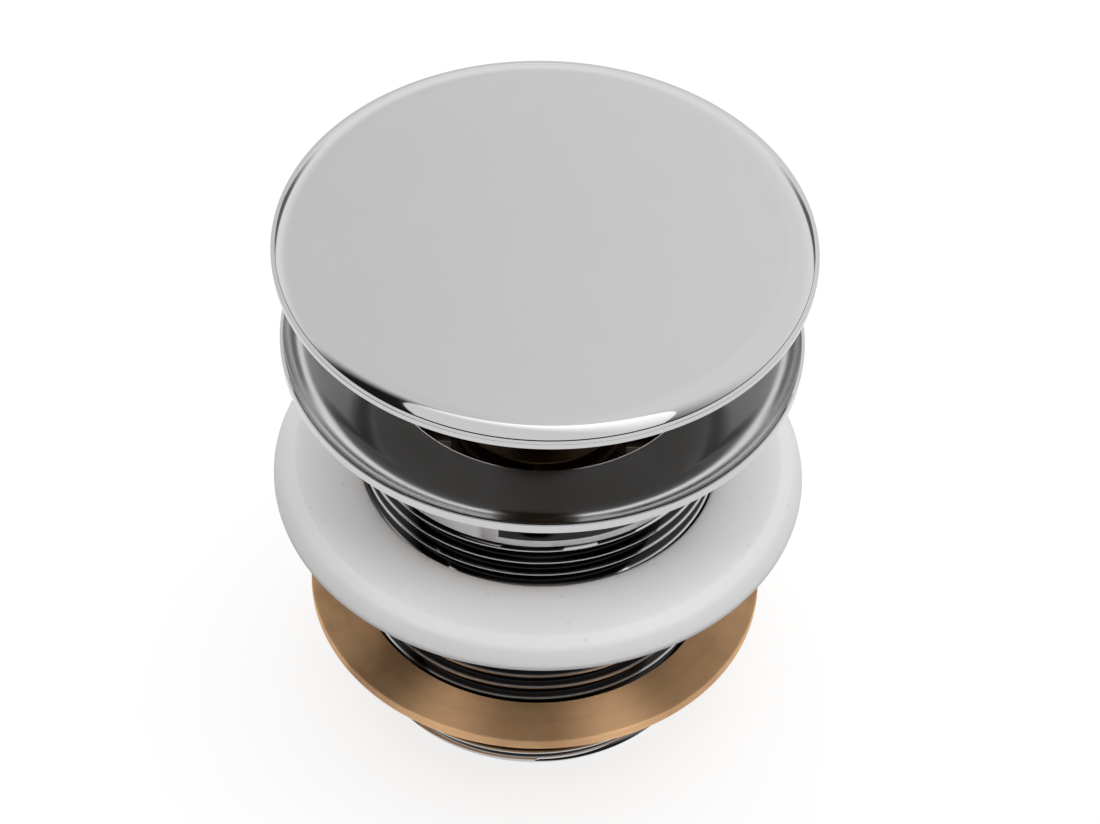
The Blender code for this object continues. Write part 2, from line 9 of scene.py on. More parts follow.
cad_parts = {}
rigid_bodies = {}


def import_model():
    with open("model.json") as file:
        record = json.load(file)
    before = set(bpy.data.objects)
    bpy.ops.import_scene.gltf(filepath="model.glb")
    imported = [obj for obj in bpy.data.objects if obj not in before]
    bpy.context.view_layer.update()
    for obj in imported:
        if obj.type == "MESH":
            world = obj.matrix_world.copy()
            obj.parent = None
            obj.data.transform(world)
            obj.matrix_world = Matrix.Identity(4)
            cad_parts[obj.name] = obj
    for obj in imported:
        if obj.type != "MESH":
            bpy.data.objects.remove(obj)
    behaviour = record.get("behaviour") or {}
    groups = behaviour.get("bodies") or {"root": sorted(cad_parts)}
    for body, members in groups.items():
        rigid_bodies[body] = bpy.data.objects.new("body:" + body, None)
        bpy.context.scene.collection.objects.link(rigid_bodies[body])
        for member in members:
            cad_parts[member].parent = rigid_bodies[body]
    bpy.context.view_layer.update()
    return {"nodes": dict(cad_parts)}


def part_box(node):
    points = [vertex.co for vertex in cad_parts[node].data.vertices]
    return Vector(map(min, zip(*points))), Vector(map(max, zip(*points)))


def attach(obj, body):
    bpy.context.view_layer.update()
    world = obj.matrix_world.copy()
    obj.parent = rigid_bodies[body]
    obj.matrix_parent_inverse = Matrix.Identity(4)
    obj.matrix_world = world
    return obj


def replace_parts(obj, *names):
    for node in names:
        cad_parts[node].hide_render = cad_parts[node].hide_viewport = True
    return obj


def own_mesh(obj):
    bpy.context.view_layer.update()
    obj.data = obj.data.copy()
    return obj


MM = 0.001

for old in list(bpy.data.objects):
    bpy.data.objects.remove(old, do_unlink=True)

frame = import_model()


# Waste body
# A brass casting, turned on a lathe and chrome plated: a dished flange with a rolled lip, a
# throat, a short neck with four overflow windows, and a tail with a right-hand pipe thread.
# Its bore is left as bare brass, coloured near black as painted shade.
COLUMNS = 192
SHARP = math.radians(38.0)
WELD = 0.002 * MM

body_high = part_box("waste_body")[1]
FLANGE_R = body_high.x
LIP_Z = body_high.z
THREAD_R = 23.9 * MM
THREAD_PITCH = 2.309 * MM
THREAD_DEPTH = 1.45 * MM
THREAD_PHASE = 41.91 * MM
THREAD_TOP = 45.2 * MM
HALF_CREST = 0.045
HALF_ROOT = 1 / 12
TAIL_LEAD = (0.6 * MM, 1.2 * MM)
TAIL_BORE_R = 19.85 * MM
BORE_R = 20.85 * MM
BORE_EDGE = 0.15 * MM
MID_WALL_R = 21.6 * MM
LEDGE_Z = 40.2 * MM
SEAT_R = 27.5 * MM
SEAT_Z = 54.6 * MM
THROAT_Z = 56.85 * MM
THROAT_ROUND = 0.5 * MM
LIP_R = 0.45 * MM
LIP_HEIGHT = 1.7 * MM
DISH_SLOPE = 0.10
DISH_SKIRT = 5.85 * MM
DISH_SATIN = 0.12
WINDOW_LOW = 46.3 * MM
WINDOW_HIGH = 52.7 * MM
WINDOW_WIDTH = 20.0 * MM
WINDOW_TURN = math.radians(13.0)
CHROME_TONE = (0.565, 0.558, 0.562, 1.0)
# Painted shade: the bore's bare brass is coloured near black for the shade inside it.
SHADED_BARE_BRASS_TONE = (0.022, 0.016, 0.010, 1.0)
# Painted shade: near-black colour for the thread's roots, standing in for the shade between the flanks.
ROOT_SHADE_TONE = (0.012, 0.011, 0.011, 1.0)
ROOT_SHADE_START = 0.06 * MM
ROOT_SHADE_FULL = 0.3 * MM
ROOT_SHADE_COVER = 0.97
POLISH_ROUGH = 0.035
SMUDGE_ROUGH = 0.04
BARE_ROUGH = 0.25


def add(tree, kind, inputs=None, **settings):
    """Add a node. Each input is a number, a colour or another node's socket."""
    made = tree.nodes.new(kind)
    for key, value in settings.items():
        setattr(made, key, value)
    for key, value in (inputs or {}).items():
        if isinstance(value, bpy.types.NodeSocket):
            tree.links.new(value, made.inputs[key])
        else:
            made.inputs[key].default_value = value
    return made


def calc(tree, operation, *values):
    """The result socket of a Math node on numbers or sockets."""
    return add(tree, "ShaderNodeMath", dict(enumerate(values)), operation=operation).outputs[0]


def rerange(tree, value, low, high, out_low=0.0, out_high=1.0, smooth=True):
    """The result socket of a Map Range node, clamped."""
    inputs = {"Value": value, "From Min": low, "From Max": high, "To Min": out_low, "To Max": out_high}
    kind = "SMOOTHSTEP" if smooth else "LINEAR"
    return add(tree, "ShaderNodeMapRange", inputs, interpolation_type=kind).outputs["Result"]


def new_tree(name, kind, inputs, outputs):
    """A node group with named inputs and outputs, its input node and its output node."""
    tree = bpy.data.node_groups.new(name, kind)
    for label, socket, default in inputs:
        made = tree.interface.new_socket(label, in_out="INPUT", socket_type=socket)
        if default is not None:
            made.default_value = default
    for label, socket in outputs:
        tree.interface.new_socket(label, in_out="OUTPUT", socket_type=socket)
    return tree, add(tree, "NodeGroupInput"), add(tree, "NodeGroupOutput")


def place(name, mesh):
    """Put a mesh in the scene as an object at the origin."""
    obj = bpy.data.objects.new(name, mesh)
    bpy.context.scene.collection.objects.link(obj)
    return obj


def baked(obj):
    """Turn an object's modifiers into its mesh."""
    bpy.context.view_layer.update()
    evaluated = obj.evaluated_get(bpy.context.evaluated_depsgraph_get())
    mesh = bpy.data.meshes.new_from_object(evaluated)
    obj.modifiers.clear()
    obj.data = mesh
    return obj


def grown(name, tree, values):
    """An object made by a Geometry Nodes tree, with its named inputs set, as a plain mesh."""
    obj = place(name, bpy.data.meshes.new(name))
    growth = obj.modifiers.new("growth", "NODES")
    growth.node_group = tree
    for item in tree.interface.items_tree:
        if item.item_type == "SOCKET" and item.in_out == "INPUT" and item.name in values:
            growth[item.identifier] = values[item.name]
    return baked(obj)


def arc(r, z, wide, high, start, end, steps):
    """Points (r, z) along an elliptical arc, angles in degrees from the outward direction."""
    angles = [math.radians(start + (end - start) * i / steps) for i in range(steps + 1)]
    return [(r + wide * math.cos(a), z + high * math.sin(a)) for a in angles]


ROUND_FLAT = 1.3
ROUND_SHARE = 0.48


def rounded(corners, closed=True, steps=5):
    """An outline whose corners (r, z, radius) are rounded, with a short flat beside each round.
    A round never takes more than its share of the sides that it joins."""
    points = []
    for i, (r, z, radius) in enumerate(corners):
        corner = Vector((r, z))
        if radius == 0.0 or (not closed and i in (0, len(corners) - 1)):
            points.append(corner)
            continue
        before = Vector(corners[i - 1][:2]) - corner
        after = Vector(corners[(i + 1) % len(corners)][:2]) - corner
        reach = min(radius, min(before.length, after.length) * ROUND_SHARE / ROUND_FLAT)
        before = before.normalized() * reach
        after = after.normalized() * reach
        points.append(corner + before * ROUND_FLAT)
        for k in range(steps + 1):
            t = k / steps
            points.append((corner + before * (1 - t)).lerp(corner + after * t, t))
        points.append(corner + after * ROUND_FLAT)
    return points


def lathe(name, outline, closed=True, columns=COLUMNS):
    """Turn an outline of (r, z) points, which runs down its outer side, round the axis."""
    form = bmesh.new()
    loops = []
    for r, z in outline:
        angles = [2 * math.pi * i / columns for i in range(columns if r > WELD else 1)]
        loops.append([form.verts.new((r * math.cos(a), r * math.sin(a), z)) for a in angles])
    followers = loops[1:] + loops[:1] if closed else loops[1:]
    for upper, lower in zip(loops, followers):
        for i in range(columns):
            j = i + 1
            left_side = [upper[i % len(upper)], lower[i % len(lower)]]
            right_side = [lower[j % len(lower)], upper[j % len(upper)]]
            corners = list(dict.fromkeys(left_side + right_side))
            if len(corners) > 2:
                form.faces.new(corners)
    mesh = bpy.data.meshes.new(name)
    form.to_mesh(mesh)
    form.free()
    return place(name, mesh)


def box(name, size, centre, turn=0.0):
    """A rectangular block, turned about the axis."""
    form = bmesh.new()
    stretch = Matrix.Diagonal((*size, 1.0))
    settled = Matrix.Rotation(turn, 4, "Z") @ Matrix.Translation(centre) @ stretch
    bmesh.ops.create_cube(form, size=1.0, matrix=settled)
    mesh = bpy.data.meshes.new(name)
    form.to_mesh(mesh)
    form.free()
    return place(name, mesh)


def combine(obj, others, operation):
    """Join with other objects or cut by them; they are then removed."""
    for other in others:
        step = obj.modifiers.new("combine", "BOOLEAN")
        step.operation = operation
        step.solver = "EXACT"
        step.object = other
    baked(obj)
    for other in others:
        bpy.data.objects.remove(other, do_unlink=True)
    return obj


def welded(obj, others=()):
    """Join meshes that meet at an edge, merge the points there and drop faces without area."""
    form = bmesh.new()
    for source in (obj, *others):
        form.from_mesh(source.data)
    bmesh.ops.remove_doubles(form, verts=form.verts, dist=WELD)
    bmesh.ops.dissolve_degenerate(form, edges=form.edges, dist=WELD / 4)
    form.to_mesh(obj.data)
    form.free()
    for other in others:
        bpy.data.objects.remove(other, do_unlink=True)
    return obj


def fitted(obj, mat, body, slot, *nodes):
    """Finish a piece: its material, its shading, its body and the nodes that it stands for."""
    obj.data.materials.clear()
    obj.data.materials.append(mat)
    obj.data.shade_smooth()
    obj.data.set_sharp_from_angle(angle=SHARP)
    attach(obj, body)
    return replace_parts(obj, *nodes)


def thread_tree():
    """Geometry Nodes for a screw thread: a grid whose rows follow the helix, with the rows beside
    a crest drawn onto its edges, is rolled into a tube, cut off level at both ends, and faded
    out below its top."""
    tree, given, result = new_tree("screw_thread", "GeometryNodeTree", [
        ("Columns", "NodeSocketInt", COLUMNS),
        ("Turns", "NodeSocketInt", 10),
        ("Steps per turn", "NodeSocketInt", 12),
        ("Crest radius", "NodeSocketFloat", 0.01),
        ("Depth", "NodeSocketFloat", 0.001),
        ("Pitch", "NodeSocketFloat", 0.001),
        ("Crest at zero", "NodeSocketFloat", 0.0),
        ("Bottom", "NodeSocketFloat", 0.0),
        ("Top", "NodeSocketFloat", 0.01),
        ("Runout", "NodeSocketFloat", 0.001),
        ("Lead depth", "NodeSocketFloat", 0.0005),
        ("Lead height", "NodeSocketFloat", 0.0005),
        ("Material", "NodeSocketMaterial", None),
    ], [("Geometry", "NodeSocketGeometry")])
    value = given.outputs
    rows = calc(tree, "MULTIPLY_ADD", value["Turns"], value["Steps per turn"], 1.0)
    grid = add(tree, "GeometryNodeMeshGrid", {
        "Size X": 1.0,
        "Size Y": 1.0,
        "Vertices X": calc(tree, "ADD", value["Columns"], 1.0),
        "Vertices Y": rows,
    })
    flat = add(tree, "ShaderNodeSeparateXYZ", {0: add(tree, "GeometryNodeInputPosition").outputs[0]})
    around = calc(tree, "ADD", flat.outputs["X"], 0.5)
    along = calc(tree, "ADD", flat.outputs["Y"], 0.5)
    first_crest = calc(tree, "SUBTRACT", value["Crest at zero"], value["Bottom"])
    turns_to_crest = calc(tree, "CEIL", calc(tree, "DIVIDE", first_crest, value["Pitch"]))
    below_crest = calc(tree, "MULTIPLY", calc(tree, "ADD", turns_to_crest, 1.0), value["Pitch"])
    start = calc(tree, "SUBTRACT", value["Crest at zero"], below_crest)
    row_turn = calc(tree, "MULTIPLY", along, value["Turns"])
    off_crest = calc(tree, "WRAP", row_turn, 0.5, -0.5)
    next_row = calc(tree, "DIVIDE", 1.5, value["Steps per turn"])
    beside = calc(tree, "LESS_THAN", calc(tree, "ABSOLUTE", off_crest), next_row)
    draw_in = calc(tree, "MULTIPLY_ADD", value["Steps per turn"], HALF_CREST, -1.0)
    onto_crest = calc(tree, "MULTIPLY", calc(tree, "MULTIPLY", off_crest, draw_in), beside)
    turn = calc(tree, "ADD", calc(tree, "ADD", row_turn, around), onto_crest)
    climb = calc(tree, "MULTIPLY_ADD", turn, value["Pitch"], start)
    height = calc(tree, "MINIMUM", calc(tree, "MAXIMUM", climb, value["Bottom"]), value["Top"])
    from_crest = calc(tree, "SUBTRACT", height, value["Crest at zero"])
    crests_up = calc(tree, "DIVIDE", from_crest, value["Pitch"])
    phase = calc(tree, "PINGPONG", calc(tree, "SUBTRACT", crests_up, around), 0.5)
    dip = rerange(tree, phase, HALF_CREST, 0.5 - HALF_ROOT, smooth=False)
    to_top = calc(tree, "SUBTRACT", value["Top"], height)
    fade = rerange(tree, to_top, 0.0, value["Runout"])
    cut = calc(tree, "MULTIPLY", calc(tree, "MULTIPLY", dip, fade), value["Depth"])
    threaded = calc(tree, "SUBTRACT", value["Crest radius"], cut)
    to_bottom = calc(tree, "SUBTRACT", height, value["Bottom"])
    lead = rerange(tree, calc(tree, "DIVIDE", to_bottom, value["Lead height"]), 0.0, 1.0, smooth=False)
    missing = calc(tree, "MULTIPLY", calc(tree, "SUBTRACT", 1.0, lead), value["Lead depth"])
    radius = calc(tree, "MINIMUM", threaded, calc(tree, "SUBTRACT", value["Crest radius"], missing))
    angle = calc(tree, "MULTIPLY", around, 2 * math.pi)
    point = add(tree, "ShaderNodeCombineXYZ", {
        "X": calc(tree, "MULTIPLY", radius, calc(tree, "COSINE", angle)),
        "Y": calc(tree, "MULTIPLY", radius, calc(tree, "SINE", angle)),
        "Z": height,
    })
    rolled = add(tree, "GeometryNodeSetPosition", {
        "Geometry": grid.outputs["Mesh"],
        "Position": point.outputs[0],
    })
    merged = add(tree, "GeometryNodeMergeByDistance", {"Geometry": rolled.outputs[0], "Distance": WELD})
    plain = add(tree, "GeometryNodeRealizeInstances", {"Geometry": merged.outputs[0]})
    painted = add(tree, "GeometryNodeSetMaterial", {
        "Geometry": plain.outputs[0],
        "Material": value["Material"],
    })
    tree.links.new(painted.outputs[0], result.inputs[0])
    return tree


SCREW_THREAD = thread_tree()


def thread(name, crest_r, depth, pitch, crest_at_zero, bottom, top, runout, lead, mat, columns=COLUMNS):
    """A threaded tube, open at both ends, whose rows follow the helix."""
    turns = math.ceil((top - bottom) / pitch) + 3
    return grown(name, SCREW_THREAD, {
        "Columns": columns,
        "Turns": turns,
        "Crest radius": crest_r,
        "Depth": depth,
        "Pitch": pitch,
        "Crest at zero": crest_at_zero,
        "Bottom": bottom,
        "Top": top,
        "Runout": runout,
        "Lead depth": lead[0],
        "Lead height": lead[1],
        "Material": mat,
    })


def polar(tree, vector):
    """Distance from the axis and height of a point, as sockets."""
    split = add(tree, "ShaderNodeSeparateXYZ", {0: vector})
    square = calc(tree, "MULTIPLY", split.outputs["X"], split.outputs["X"])
    total = calc(tree, "MULTIPLY_ADD", split.outputs["Y"], split.outputs["Y"], square)
    return calc(tree, "SQRT", total), split.outputs["Z"]


def turning_marks_tree():
    """Shader group: the fine rings that a lathe leaves round the axis."""
    tree, given, result = new_tree("turning_marks", "ShaderNodeTree", [
        ("Vector", "NodeSocketVector", None),
        ("Spacing", "NodeSocketFloat", 0.0003),
    ], [("Height", "NodeSocketFloat"), ("Tone", "NodeSocketFloat")])
    radius, height = polar(tree, given.outputs["Vector"])
    ring = calc(tree, "DIVIDE", calc(tree, "ADD", radius, height), given.outputs["Spacing"])
    fine = add(tree, "ShaderNodeTexNoise", {"W": ring, "Scale": 1.0, "Detail": 3.0}, noise_dimensions="1D")
    wide = calc(tree, "MULTIPLY", ring, 0.13)
    broad = add(tree, "ShaderNodeTexNoise", {"W": wide, "Scale": 1.0, "Detail": 2.0}, noise_dimensions="1D")
    tree.links.new(fine.outputs[0], result.inputs["Height"])
    tree.links.new(broad.outputs[0], result.inputs["Tone"])
    return tree


def handling_tree():
    """Shader group: faint smudges and small specks left by handling."""
    tree, given, result = new_tree("handling", "ShaderNodeTree", [
        ("Vector", "NodeSocketVector", None),
        ("Smudge size", "NodeSocketFloat", 0.012),
        ("Speck size", "NodeSocketFloat", 0.0016),
    ], [("Smudge", "NodeSocketFloat"), ("Speck", "NodeSocketFloat")])
    value = given.outputs
    smudge_scale = calc(tree, "DIVIDE", 1.0, value["Smudge size"])
    speck_scale = calc(tree, "DIVIDE", 1.0, value["Speck size"])
    smudge = add(tree, "ShaderNodeTexNoise", {
        "Vector": value["Vector"],
        "Scale": smudge_scale,
        "Detail": 4.0,
    })
    speck = add(tree, "ShaderNodeTexVoronoi", {"Vector": value["Vector"], "Scale": speck_scale})
    tree.links.new(rerange(tree, smudge.outputs[0], 0.35, 0.75), result.inputs["Smudge"])
    tree.links.new(rerange(tree, speck.outputs["Distance"], 0.13, 0.05), result.inputs["Speck"])
    return tree


TURNING_MARKS = turning_marks_tree()
HANDLING = handling_tree()


def finish_base(name, color, metallic, roughness):
    """A new material: its tree, its Principled shader and its Object coordinates."""
    mat = bpy.data.materials.new(name)
    mat.use_nodes = True
    shader = mat.node_tree.nodes["Principled BSDF"]
    shader.inputs["Base Color"].default_value = color
    shader.inputs["Metallic"].default_value = metallic
    shader.inputs["Roughness"].default_value = roughness
    where = add(mat.node_tree, "ShaderNodeTexCoord").outputs["Object"]
    return mat, mat.node_tree, shader, where


def group(tree, shared, inputs):
    """Place a shared shader group in a material."""
    return add(tree, "ShaderNodeGroup", inputs, node_tree=shared)


def mixed(tree, share, first, second):
    """The colour socket of a mix of two colours."""
    inputs = {"Factor": share, 6: first, 7: second}
    return add(tree, "ShaderNodeMix", inputs, data_type="RGBA").outputs[2]


def bump(tree, height, distance):
    """The normal socket of a Bump node at full strength."""
    inputs = {"Height": height, "Distance": distance, "Strength": 1.0}
    return add(tree, "ShaderNodeBump", inputs).outputs[0]


def body_chrome():
    """Bright plate with faint polishing rings, less sharp in the dish; near-black painted shade in the
    thread's roots;
    a bare brass bore, coloured near black as painted shade."""
    mat, tree, shader, where = finish_base("plated_body", CHROME_TONE, 1.0, 0.04)
    marks = group(tree, TURNING_MARKS, {"Vector": where, "Spacing": 0.5 * MM})
    worn = group(tree, HANDLING, {"Vector": where})
    radius, height = polar(tree, where)
    below_neck = rerange(tree, height, THREAD_TOP + 0.05 * MM, THREAD_TOP - 0.1 * MM)
    outside = rerange(tree, radius, MID_WALL_R, MID_WALL_R + 0.4 * MM)
    on_tail = calc(tree, "MULTIPLY", below_neck, outside)
    # Painted shade: the thread's roots are coloured near black for the shade between the flanks.
    deep = rerange(tree, radius, THREAD_R - ROOT_SHADE_START, THREAD_R - ROOT_SHADE_FULL)
    past_lead = rerange(tree, height, TAIL_LEAD[1], TAIL_LEAD[1] + 0.2 * MM)
    root_shade = calc(tree, "MULTIPLY", calc(tree, "MULTIPLY", on_tail, deep), past_lead)
    # The bore is bare brass and rougher, and its near-black colour is painted shade inside it.
    in_bore = rerange(tree, height, THROAT_Z - 0.8 * MM, THROAT_Z - 1.8 * MM)
    bare_shaded_bore = calc(tree, "MULTIPLY", rerange(tree, radius, MID_WALL_R, MID_WALL_R - 0.3 * MM), in_bore)
    plate = mixed(tree, calc(tree, "MULTIPLY", root_shade, ROOT_SHADE_COVER), CHROME_TONE, ROOT_SHADE_TONE)
    shade = mixed(tree, bare_shaded_bore, plate, SHADED_BARE_BRASS_TONE)
    smudged = calc(tree, "MULTIPLY_ADD", worn.outputs["Smudge"], SMUDGE_ROUGH, POLISH_ROUGH)
    within_lip = rerange(tree, radius, FLANGE_R - 0.5 * MM, FLANGE_R - 1.0 * MM)
    above_seat = rerange(tree, height, SEAT_Z + 1.6 * MM, SEAT_Z + 2.0 * MM)
    in_dish = calc(tree, "MULTIPLY", within_lip, above_seat)
    duller = calc(tree, "MULTIPLY", in_dish, DISH_SATIN)
    bare = calc(tree, "MULTIPLY", bare_shaded_bore, BARE_ROUGH)
    rough = calc(tree, "ADD", calc(tree, "ADD", smudged, duller), bare)
    tree.links.new(shade, shader.inputs["Base Color"])
    tree.links.new(rough, shader.inputs["Roughness"])
    tree.links.new(bump(tree, marks.outputs["Height"], 0.002 * MM), shader.inputs["Normal"])
    return mat


BODY_CHROME = body_chrome()
bore = rounded([
    (TAIL_BORE_R + 0.3 * MM, 0.0, 0.0),
    (TAIL_BORE_R, 0.3 * MM, 0.1 * MM),
    (TAIL_BORE_R, LEDGE_Z, BORE_EDGE),
    (BORE_R, LEDGE_Z, BORE_EDGE),
    (BORE_R, THROAT_Z - THROAT_ROUND, 0.0),
], closed=False)
throat = arc(BORE_R + THROAT_ROUND, THROAT_Z - THROAT_ROUND, THROAT_ROUND, THROAT_ROUND, 180, 96, 8)
dish_end = FLANGE_R - LIP_R
bend_r = dish_end - DISH_SKIRT
bend_z = THROAT_Z + DISH_SLOPE * (bend_r - BORE_R - THROAT_ROUND)
floor_slope = math.atan(DISH_SLOPE)
lip_slope = 2 * math.atan2(LIP_Z - bend_z, DISH_SKIRT) - floor_slope
skirt_r = DISH_SKIRT / (math.sin(lip_slope) - math.sin(floor_slope))
skirt_centre_r = bend_r - skirt_r * math.sin(floor_slope)
skirt_centre_z = bend_z + skirt_r * math.cos(floor_slope)
skirt_start = math.degrees(floor_slope) - 90
skirt_end = math.degrees(lip_slope) - 90
dish = arc(skirt_centre_r, skirt_centre_z, skirt_r, skirt_r, skirt_start, skirt_end, 48)[:-1]
lip = rounded([
    (*dish[-1], 0.0),
    (dish_end, LIP_Z, 0.06 * MM),
    (FLANGE_R, LIP_Z - 0.02 * MM, 0.22 * MM),
    (FLANGE_R, LIP_Z - LIP_HEIGHT + 0.25 * MM, 0.15 * MM),
    (FLANGE_R - 0.45 * MM, LIP_Z - LIP_HEIGHT, 0.3 * MM),
    (SEAT_R, SEAT_Z, 0.4 * MM),
    (THREAD_R, SEAT_Z, 0.5 * MM),
    (THREAD_R, THREAD_TOP, 0.0),
], closed=False)[1:]
body_tail = thread(
    "thread", THREAD_R, THREAD_DEPTH, THREAD_PITCH, THREAD_PHASE + THREAD_PITCH / 4, 0.0, THREAD_TOP,
    0.8 * MM, TAIL_LEAD, BODY_CHROME,
)
waste_body = welded(lathe("waste_body_plated", bore + throat + dish + lip, closed=False), [body_tail])


def close_end(obj):
    """Bridge the two loops that are still open."""
    form = bmesh.new()
    form.from_mesh(obj.data)
    bmesh.ops.bridge_loops(form, edges=[edge for edge in form.edges if edge.is_boundary])
    form.to_mesh(obj.data)
    form.free()
    return obj


close_end(waste_body)
window_size = (WINDOW_WIDTH, 3 * THREAD_R, WINDOW_HIGH - WINDOW_LOW)
window_centre = (0.0, 0.0, (WINDOW_LOW + WINDOW_HIGH) / 2)
windows = []
for i in range(2):
    windows.append(box(f"window_{i}", window_size, window_centre, WINDOW_TURN + i * math.pi / 2))
combine(waste_body, windows, "DIFFERENCE")
fitted(waste_body, BODY_CHROME, "waste", "chrome", "waste_body")


# Strainer spider
# A brass insert with four arms. Its rim rests on the ledge in the bore, and its hub carries
# the cartridge.
SPIDER_ARM = 3.0 * MM
RIM_WALL = 1.3 * MM
HUB_WALL = 2.4 * MM
# Painted shade: these brass tones are far darker than brass, standing in for the shade inside the bore; the
# second tone varies at random.
SHADED_BRASS_TONE = (0.12, 0.076, 0.040, 1.0)
SHADED_BRASS_DARK = (0.06, 0.037, 0.019, 1.0)

spider_low, spider_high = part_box("strainer_spider")
housing_low, housing_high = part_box("cartridge_housing")
HOUSING_R = 9.2 * MM
CLEARANCE = 0.3 * MM
HUB_BORE_R = HOUSING_R + CLEARANCE
OVERCUT = 1.0 * MM


def ring_outline(inner, outer, bottom, top, edge):
    """The outline of a ring of rectangular section with rounded edges."""
    corners = [(inner, top), (outer, top), (outer, bottom), (inner, bottom)]
    return rounded([(r, z, edge) for r, z in corners])


def turned_brass(name, spacing, tone=SHADED_BRASS_TONE, dark=SHADED_BRASS_DARK, roughness=0.26, grain=0.0):
    """Turned brass: rings from the tool that stretch its highlights, and uneven colour."""
    mat, tree, shader, where = finish_base(name, tone, 1.0, roughness)
    shader.inputs["Anisotropic"].default_value = grain
    shader.inputs["Anisotropic Rotation"].default_value = 0.25
    around = add(tree, "ShaderNodeTangent", direction_type="RADIAL", axis="Z")
    tree.links.new(around.outputs[0], shader.inputs["Tangent"])
    marks = group(tree, TURNING_MARKS, {"Vector": where, "Spacing": spacing})
    worn = group(tree, HANDLING, {"Vector": where, "Smudge size": 9.0 * MM})
    share = calc(tree, "MULTIPLY", calc(tree, "ADD", marks.outputs["Tone"], worn.outputs["Smudge"]), 0.35)
    shade = mixed(tree, share, tone, dark)
    rough = calc(tree, "MULTIPLY_ADD", worn.outputs["Smudge"], 0.12, roughness)
    tree.links.new(shade, shader.inputs["Base Color"])
    tree.links.new(rough, shader.inputs["Roughness"])
    tree.links.new(bump(tree, marks.outputs["Height"], 0.012 * MM), shader.inputs["Normal"])
    return mat


CARTRIDGE_BRASS = turned_brass("cartridge_brass", 0.35 * MM)
spider = lathe("spider_casting", ring_outline(
    spider_high.x - RIM_WALL, spider_high.x, spider_low.z, spider_high.z, 0.3 * MM,
))
arm_length = 2 * spider_high.x - RIM_WALL
arm_z = (spider_low.z + spider_high.z) / 2
arms = []
for i in range(2):
    arm_height = spider_high.z - spider_low.z - 0.2 * MM * (i + 1)
    arm = box(f"arm_{i}", (arm_length, SPIDER_ARM, arm_height), (0.0, 0.0, arm_z), i * math.pi / 2)
    soft_edge = arm.modifiers.new("edge", "BEVEL")
    soft_edge.width = 0.35 * MM
    soft_edge.segments = 3
    arms.append(baked(arm))
hub = lathe("hub", [
    (0.0, spider_high.z),
    (HUB_BORE_R + HUB_WALL, spider_high.z),
    (HUB_BORE_R + HUB_WALL, spider_low.z),
    (0.0, spider_low.z),
], closed=False, columns=96)
combine(spider, arms + [hub], "UNION")
hub_bore = lathe("hub_bore", [
    (0.0, spider_high.z + OVERCUT),
    (HUB_BORE_R, spider_high.z + OVERCUT),
    (HUB_BORE_R, spider_low.z - OVERCUT),
    (0.0, spider_low.z - OVERCUT),
], closed=False, columns=96)
combine(spider, [hub_bore], "DIFFERENCE")
fitted(spider, CARTRIDGE_BRASS, "waste", "brass", "strainer_spider")


# Cartridge
# A brass barrel with a fine outside thread. Its collar sits on a red fibre ring on the spider,
# and a hexagon nut clamps it from below. A screwed base closes it and carries the spring.
BARREL_PITCH = 1.0 * MM
BARREL_DEPTH = 0.45 * MM
BARREL_PHASE = 30.0 * MM
COLLAR_LOW = 45.5 * MM
CLIP_Z = 47.125 * MM
HOUSING_BORE_R = 7.8 * MM
CLIP_WIRE_R = 0.35 * MM
BASE_HOLE_R = 1.6 * MM
BASE_SLOT_WIDTH = 1.4 * MM
BASE_SLOT_HEIGHT = 1.6 * MM
CLAMP_NUT_ACROSS = 23.6 * MM
FIBRE_TONE = (0.10, 0.035, 0.028, 1.0)
FIBRE_DARK = (0.05, 0.018, 0.014, 1.0)
STEEL_TONE = (0.58, 0.57, 0.55, 1.0)
STEEL_SPECK = (0.30, 0.29, 0.28, 1.0)
ACETAL_TONE = (0.86, 0.86, 0.84, 1.0)
ACETAL_WORN = (0.74, 0.74, 0.70, 1.0)

gasket_low, gasket_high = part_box("cartridge_gasket")
base_low, base_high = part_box("cartridge_base")
locknut_low, locknut_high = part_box("cartridge_locknut")


def fibre():
    """Pressed fibre: dull red with short darker strands."""
    mat, tree, shader, where = finish_base("red_fibre", FIBRE_TONE, 0.0, 0.85)
    strands = add(tree, "ShaderNodeTexNoise", {
        "Vector": where,
        "Scale": 2600.0,
        "Detail": 5.0,
        "Distortion": 2.0,
    })
    shade = mixed(tree, strands.outputs[0], FIBRE_TONE, FIBRE_DARK)
    tree.links.new(shade, shader.inputs["Base Color"])
    tree.links.new(bump(tree, strands.outputs[0], 0.03 * MM), shader.inputs["Normal"])
    return mat


def drawn_steel():
    """Bright drawn wire with faint lengthwise streaks."""
    mat, tree, shader, where = finish_base("drawn_steel", STEEL_TONE, 1.0, 0.22)
    worn = group(tree, HANDLING, {"Vector": where, "Smudge size": 2.0 * MM})
    rough = calc(tree, "MULTIPLY_ADD", worn.outputs["Smudge"], 0.15, 0.16)
    shade = mixed(tree, worn.outputs["Speck"], STEEL_TONE, STEEL_SPECK)
    tree.links.new(shade, shader.inputs["Base Color"])
    tree.links.new(rough, shader.inputs["Roughness"])
    return mat


def acetal():
    """Moulded white acetal, slightly waxy."""
    mat, tree, shader, where = finish_base("white_acetal", ACETAL_TONE, 0.0, 0.38)
    shader.inputs["Subsurface Weight"].default_value = 0.15
    shader.inputs["Subsurface Radius"].default_value = (0.9, 0.9, 0.85)
    shader.inputs["Subsurface Scale"].default_value = 1.0 * MM
    worn = group(tree, HANDLING, {"Vector": where, "Smudge size": 6.0 * MM})
    rough = calc(tree, "MULTIPLY_ADD", worn.outputs["Smudge"], 0.15, 0.32)
    shade = mixed(tree, worn.outputs["Smudge"], ACETAL_TONE, ACETAL_WORN)
    tree.links.new(shade, shader.inputs["Base Color"])
    tree.links.new(rough, shader.inputs["Roughness"])
    return mat


FIBRE = fibre()
STEEL = drawn_steel()
ACETAL = acetal()

